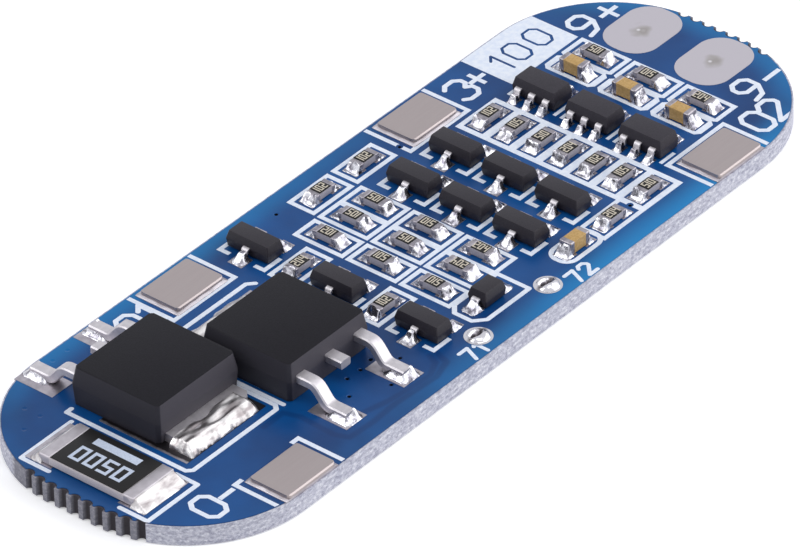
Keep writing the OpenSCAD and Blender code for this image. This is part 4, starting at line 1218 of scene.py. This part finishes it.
# %% [markdown]
# ### At the shunt and round the cell tabs
# The shunt's ends stand in broad even slopes, wider at the front where the iron came in. Round
# each nickel tab the solder is only a thin film that follows its own pad.

# %% Solder at the shunt
bm = bmesh.new()
low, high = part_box("shunt_caps")
for s, ahead in ((-1, 0.85), (1, 0.6)):
    end = low.y if s < 0 else high.y
    pad, wet = span(end, s, ahead, 0.25), span(end, s, 0.03, 0.1)
    joint(bm, (low.x - 0.15 * MM, pad[0], high.x + 0.15 * MM, pad[1]),
          (low.x + 0.12 * MM, wet[0], high.x - 0.12 * MM, wet[1]), 0.5 * MM, power=1.15, cells=60,
          seed=330 + s, grain=(0.5, 0.9), waves=0.1)
settle("solder_shunt_flow", bm, streaked, "solder", "solder_shunt", sharp=80)

# %% Solder round the cell tabs
bm = bmesh.new()
plates = islands("pads_cell_tabs")
inset, outset = 0.02 * MM, 0.01 * MM
for n, tab in enumerate(starting("cell_tab")):
    low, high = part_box(tab)
    under = min(plates, key=lambda b: ((b[0] + b[1]) / 2 - (low + high) / 2).length)
    joint(bm, (under[0].x + inset, under[0].y + inset, under[1].x - inset, under[1].y - inset),
          (low.x - outset, low.y - outset, high.x + outset, high.y + outset), 0.07 * MM,
          power=1.6, cells=80, seed=400 + n, grain=(1.6, 1.6), waves=0.5)
settle("solder_round_cell_tabs", bm, bar_tin, "solder", sharp=80)

# %% [markdown]
# ## Sense joints
# Two drilled holes near the front edge were filled with solder. Each shows a flat tinned ring
# and a dome whose middle sank as it cooled, so it has a dark hollow on one side and a bright
# swell on the other. The barrel goes through the board to a flat ring below. A sphere could be
# sculpted by hand, but rings whose height follows a formula can be repeated and changed.


# %% Solder, darker in the hollow of each dome
cupped, shader, place = finish("solder_darker_in_hollow", "#dcdbe0", 0.2, metallic=1.0)
slits = []
for name in ("sense_joint_1", "sense_joint_2"):
    low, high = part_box(name)
    mid = (low + high) / 2 + Vector((0, 0.12, 0)) * MM
    off = add(cupped, "ShaderNodeVectorMath", {0: place, 1: mid}, operation="SUBTRACT")
    off = add(cupped, "ShaderNodeVectorMath", {0: off, 1: (per(0.55), per(0.14), 0.0)},
              operation="MULTIPLY")
    slits.append(add(cupped, "ShaderNodeVectorMath", {0: off}, operation="LENGTH"))
wobble = add(cupped, "ShaderNodeTexNoise", {"Vector": place, "Scale": per(0.5), "Detail": 3.0})
spread = add(cupped, "ShaderNodeMath", {
    0: wobble, 1: 1.2, 2: nearest(cupped, slits)}, operation="MULTIPLY_ADD")
spread = add(cupped, "ShaderNodeMath", {0: spread, 1: 4.0}, operation="DIVIDE")
hollow_tone = add(cupped, "ShaderNodeValToRGB", {"Fac": spread})
# the colour is darker in the hollow of each dome and paler round it
steps(hollow_tone, (0.3, "#2c292e"), (0.42, "#858084"), (0.6, "#cfcdd1"))
wire(cupped, shader, {"Base Color": hollow_tone})
print("made", cupped.name)


# %% Sense joint builder
def dome_height(x, y, rim, seed):
    """How high a sense joint stands over its pad, from (x, y) off its middle."""
    dome = max(0.0, 1 - (math.hypot(x, y) / (0.8 * rim)) ** 2) ** 0.6
    hollow = math.exp(-(((x + 0.3 * y) / (0.42 * MM)) ** 2 + ((y - 0.17 * MM) / (0.24 * MM)) ** 2))
    wave = noise.noise(Vector((x / MM * 1.8, y / MM * 1.8, seed)))
    return 0.32 * MM * dome * (1 + 0.25 * wave) - 0.6 * MM * hollow * dome


def sense_plug(name, seed):
    """A dome on the top ring, a barrel through the board and a ring below."""
    low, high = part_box(name)
    mid = (low + high) / 2
    rim, hole, around, steps_out = (high.x - low.x) / 2, 0.5 * MM, 48, 22
    bm = bmesh.new()
    rings = [[bm.verts.new((mid.x, mid.y, pad_top + dome_height(0, 0, rim, seed)))] * around]
    for k in range(1, steps_out + 1):
        rings.append(circle(bm, mid.x, mid.y, pad_top, rim * k / steps_out, around))
        for v in rings[-1]:
            v.co.z += dome_height(v.co.x - mid.x, v.co.y - mid.y, rim, seed)
    for radius, z in ((rim, pad_top - 0.05 * MM), (hole, pad_top - 0.05 * MM), (hole, 0.03 * MM),
                      (rim, 0.03 * MM), (rim, 0.0), (hole * 0.9, 0.0)):
        rings.append(circle(bm, mid.x, mid.y, z, radius, around))
    join_rings(bm, rings, upwards=False)
    bm.faces.new(list(reversed(rings[-1])))
    settle(name + "_plug", bm, cupped, "solder", name, sharp=60)


sense_plug("sense_joint_1", 3.0)
sense_plug("sense_joint_2", 8.0)

# %% [markdown]
# ## Size
# The size of the bare solids and of the dressed board are written down, so that they can be
# compared.

# %% Size of the dressed board
low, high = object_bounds()
print("visual size mm:", [round(v / MM, 2) for v in high - low])
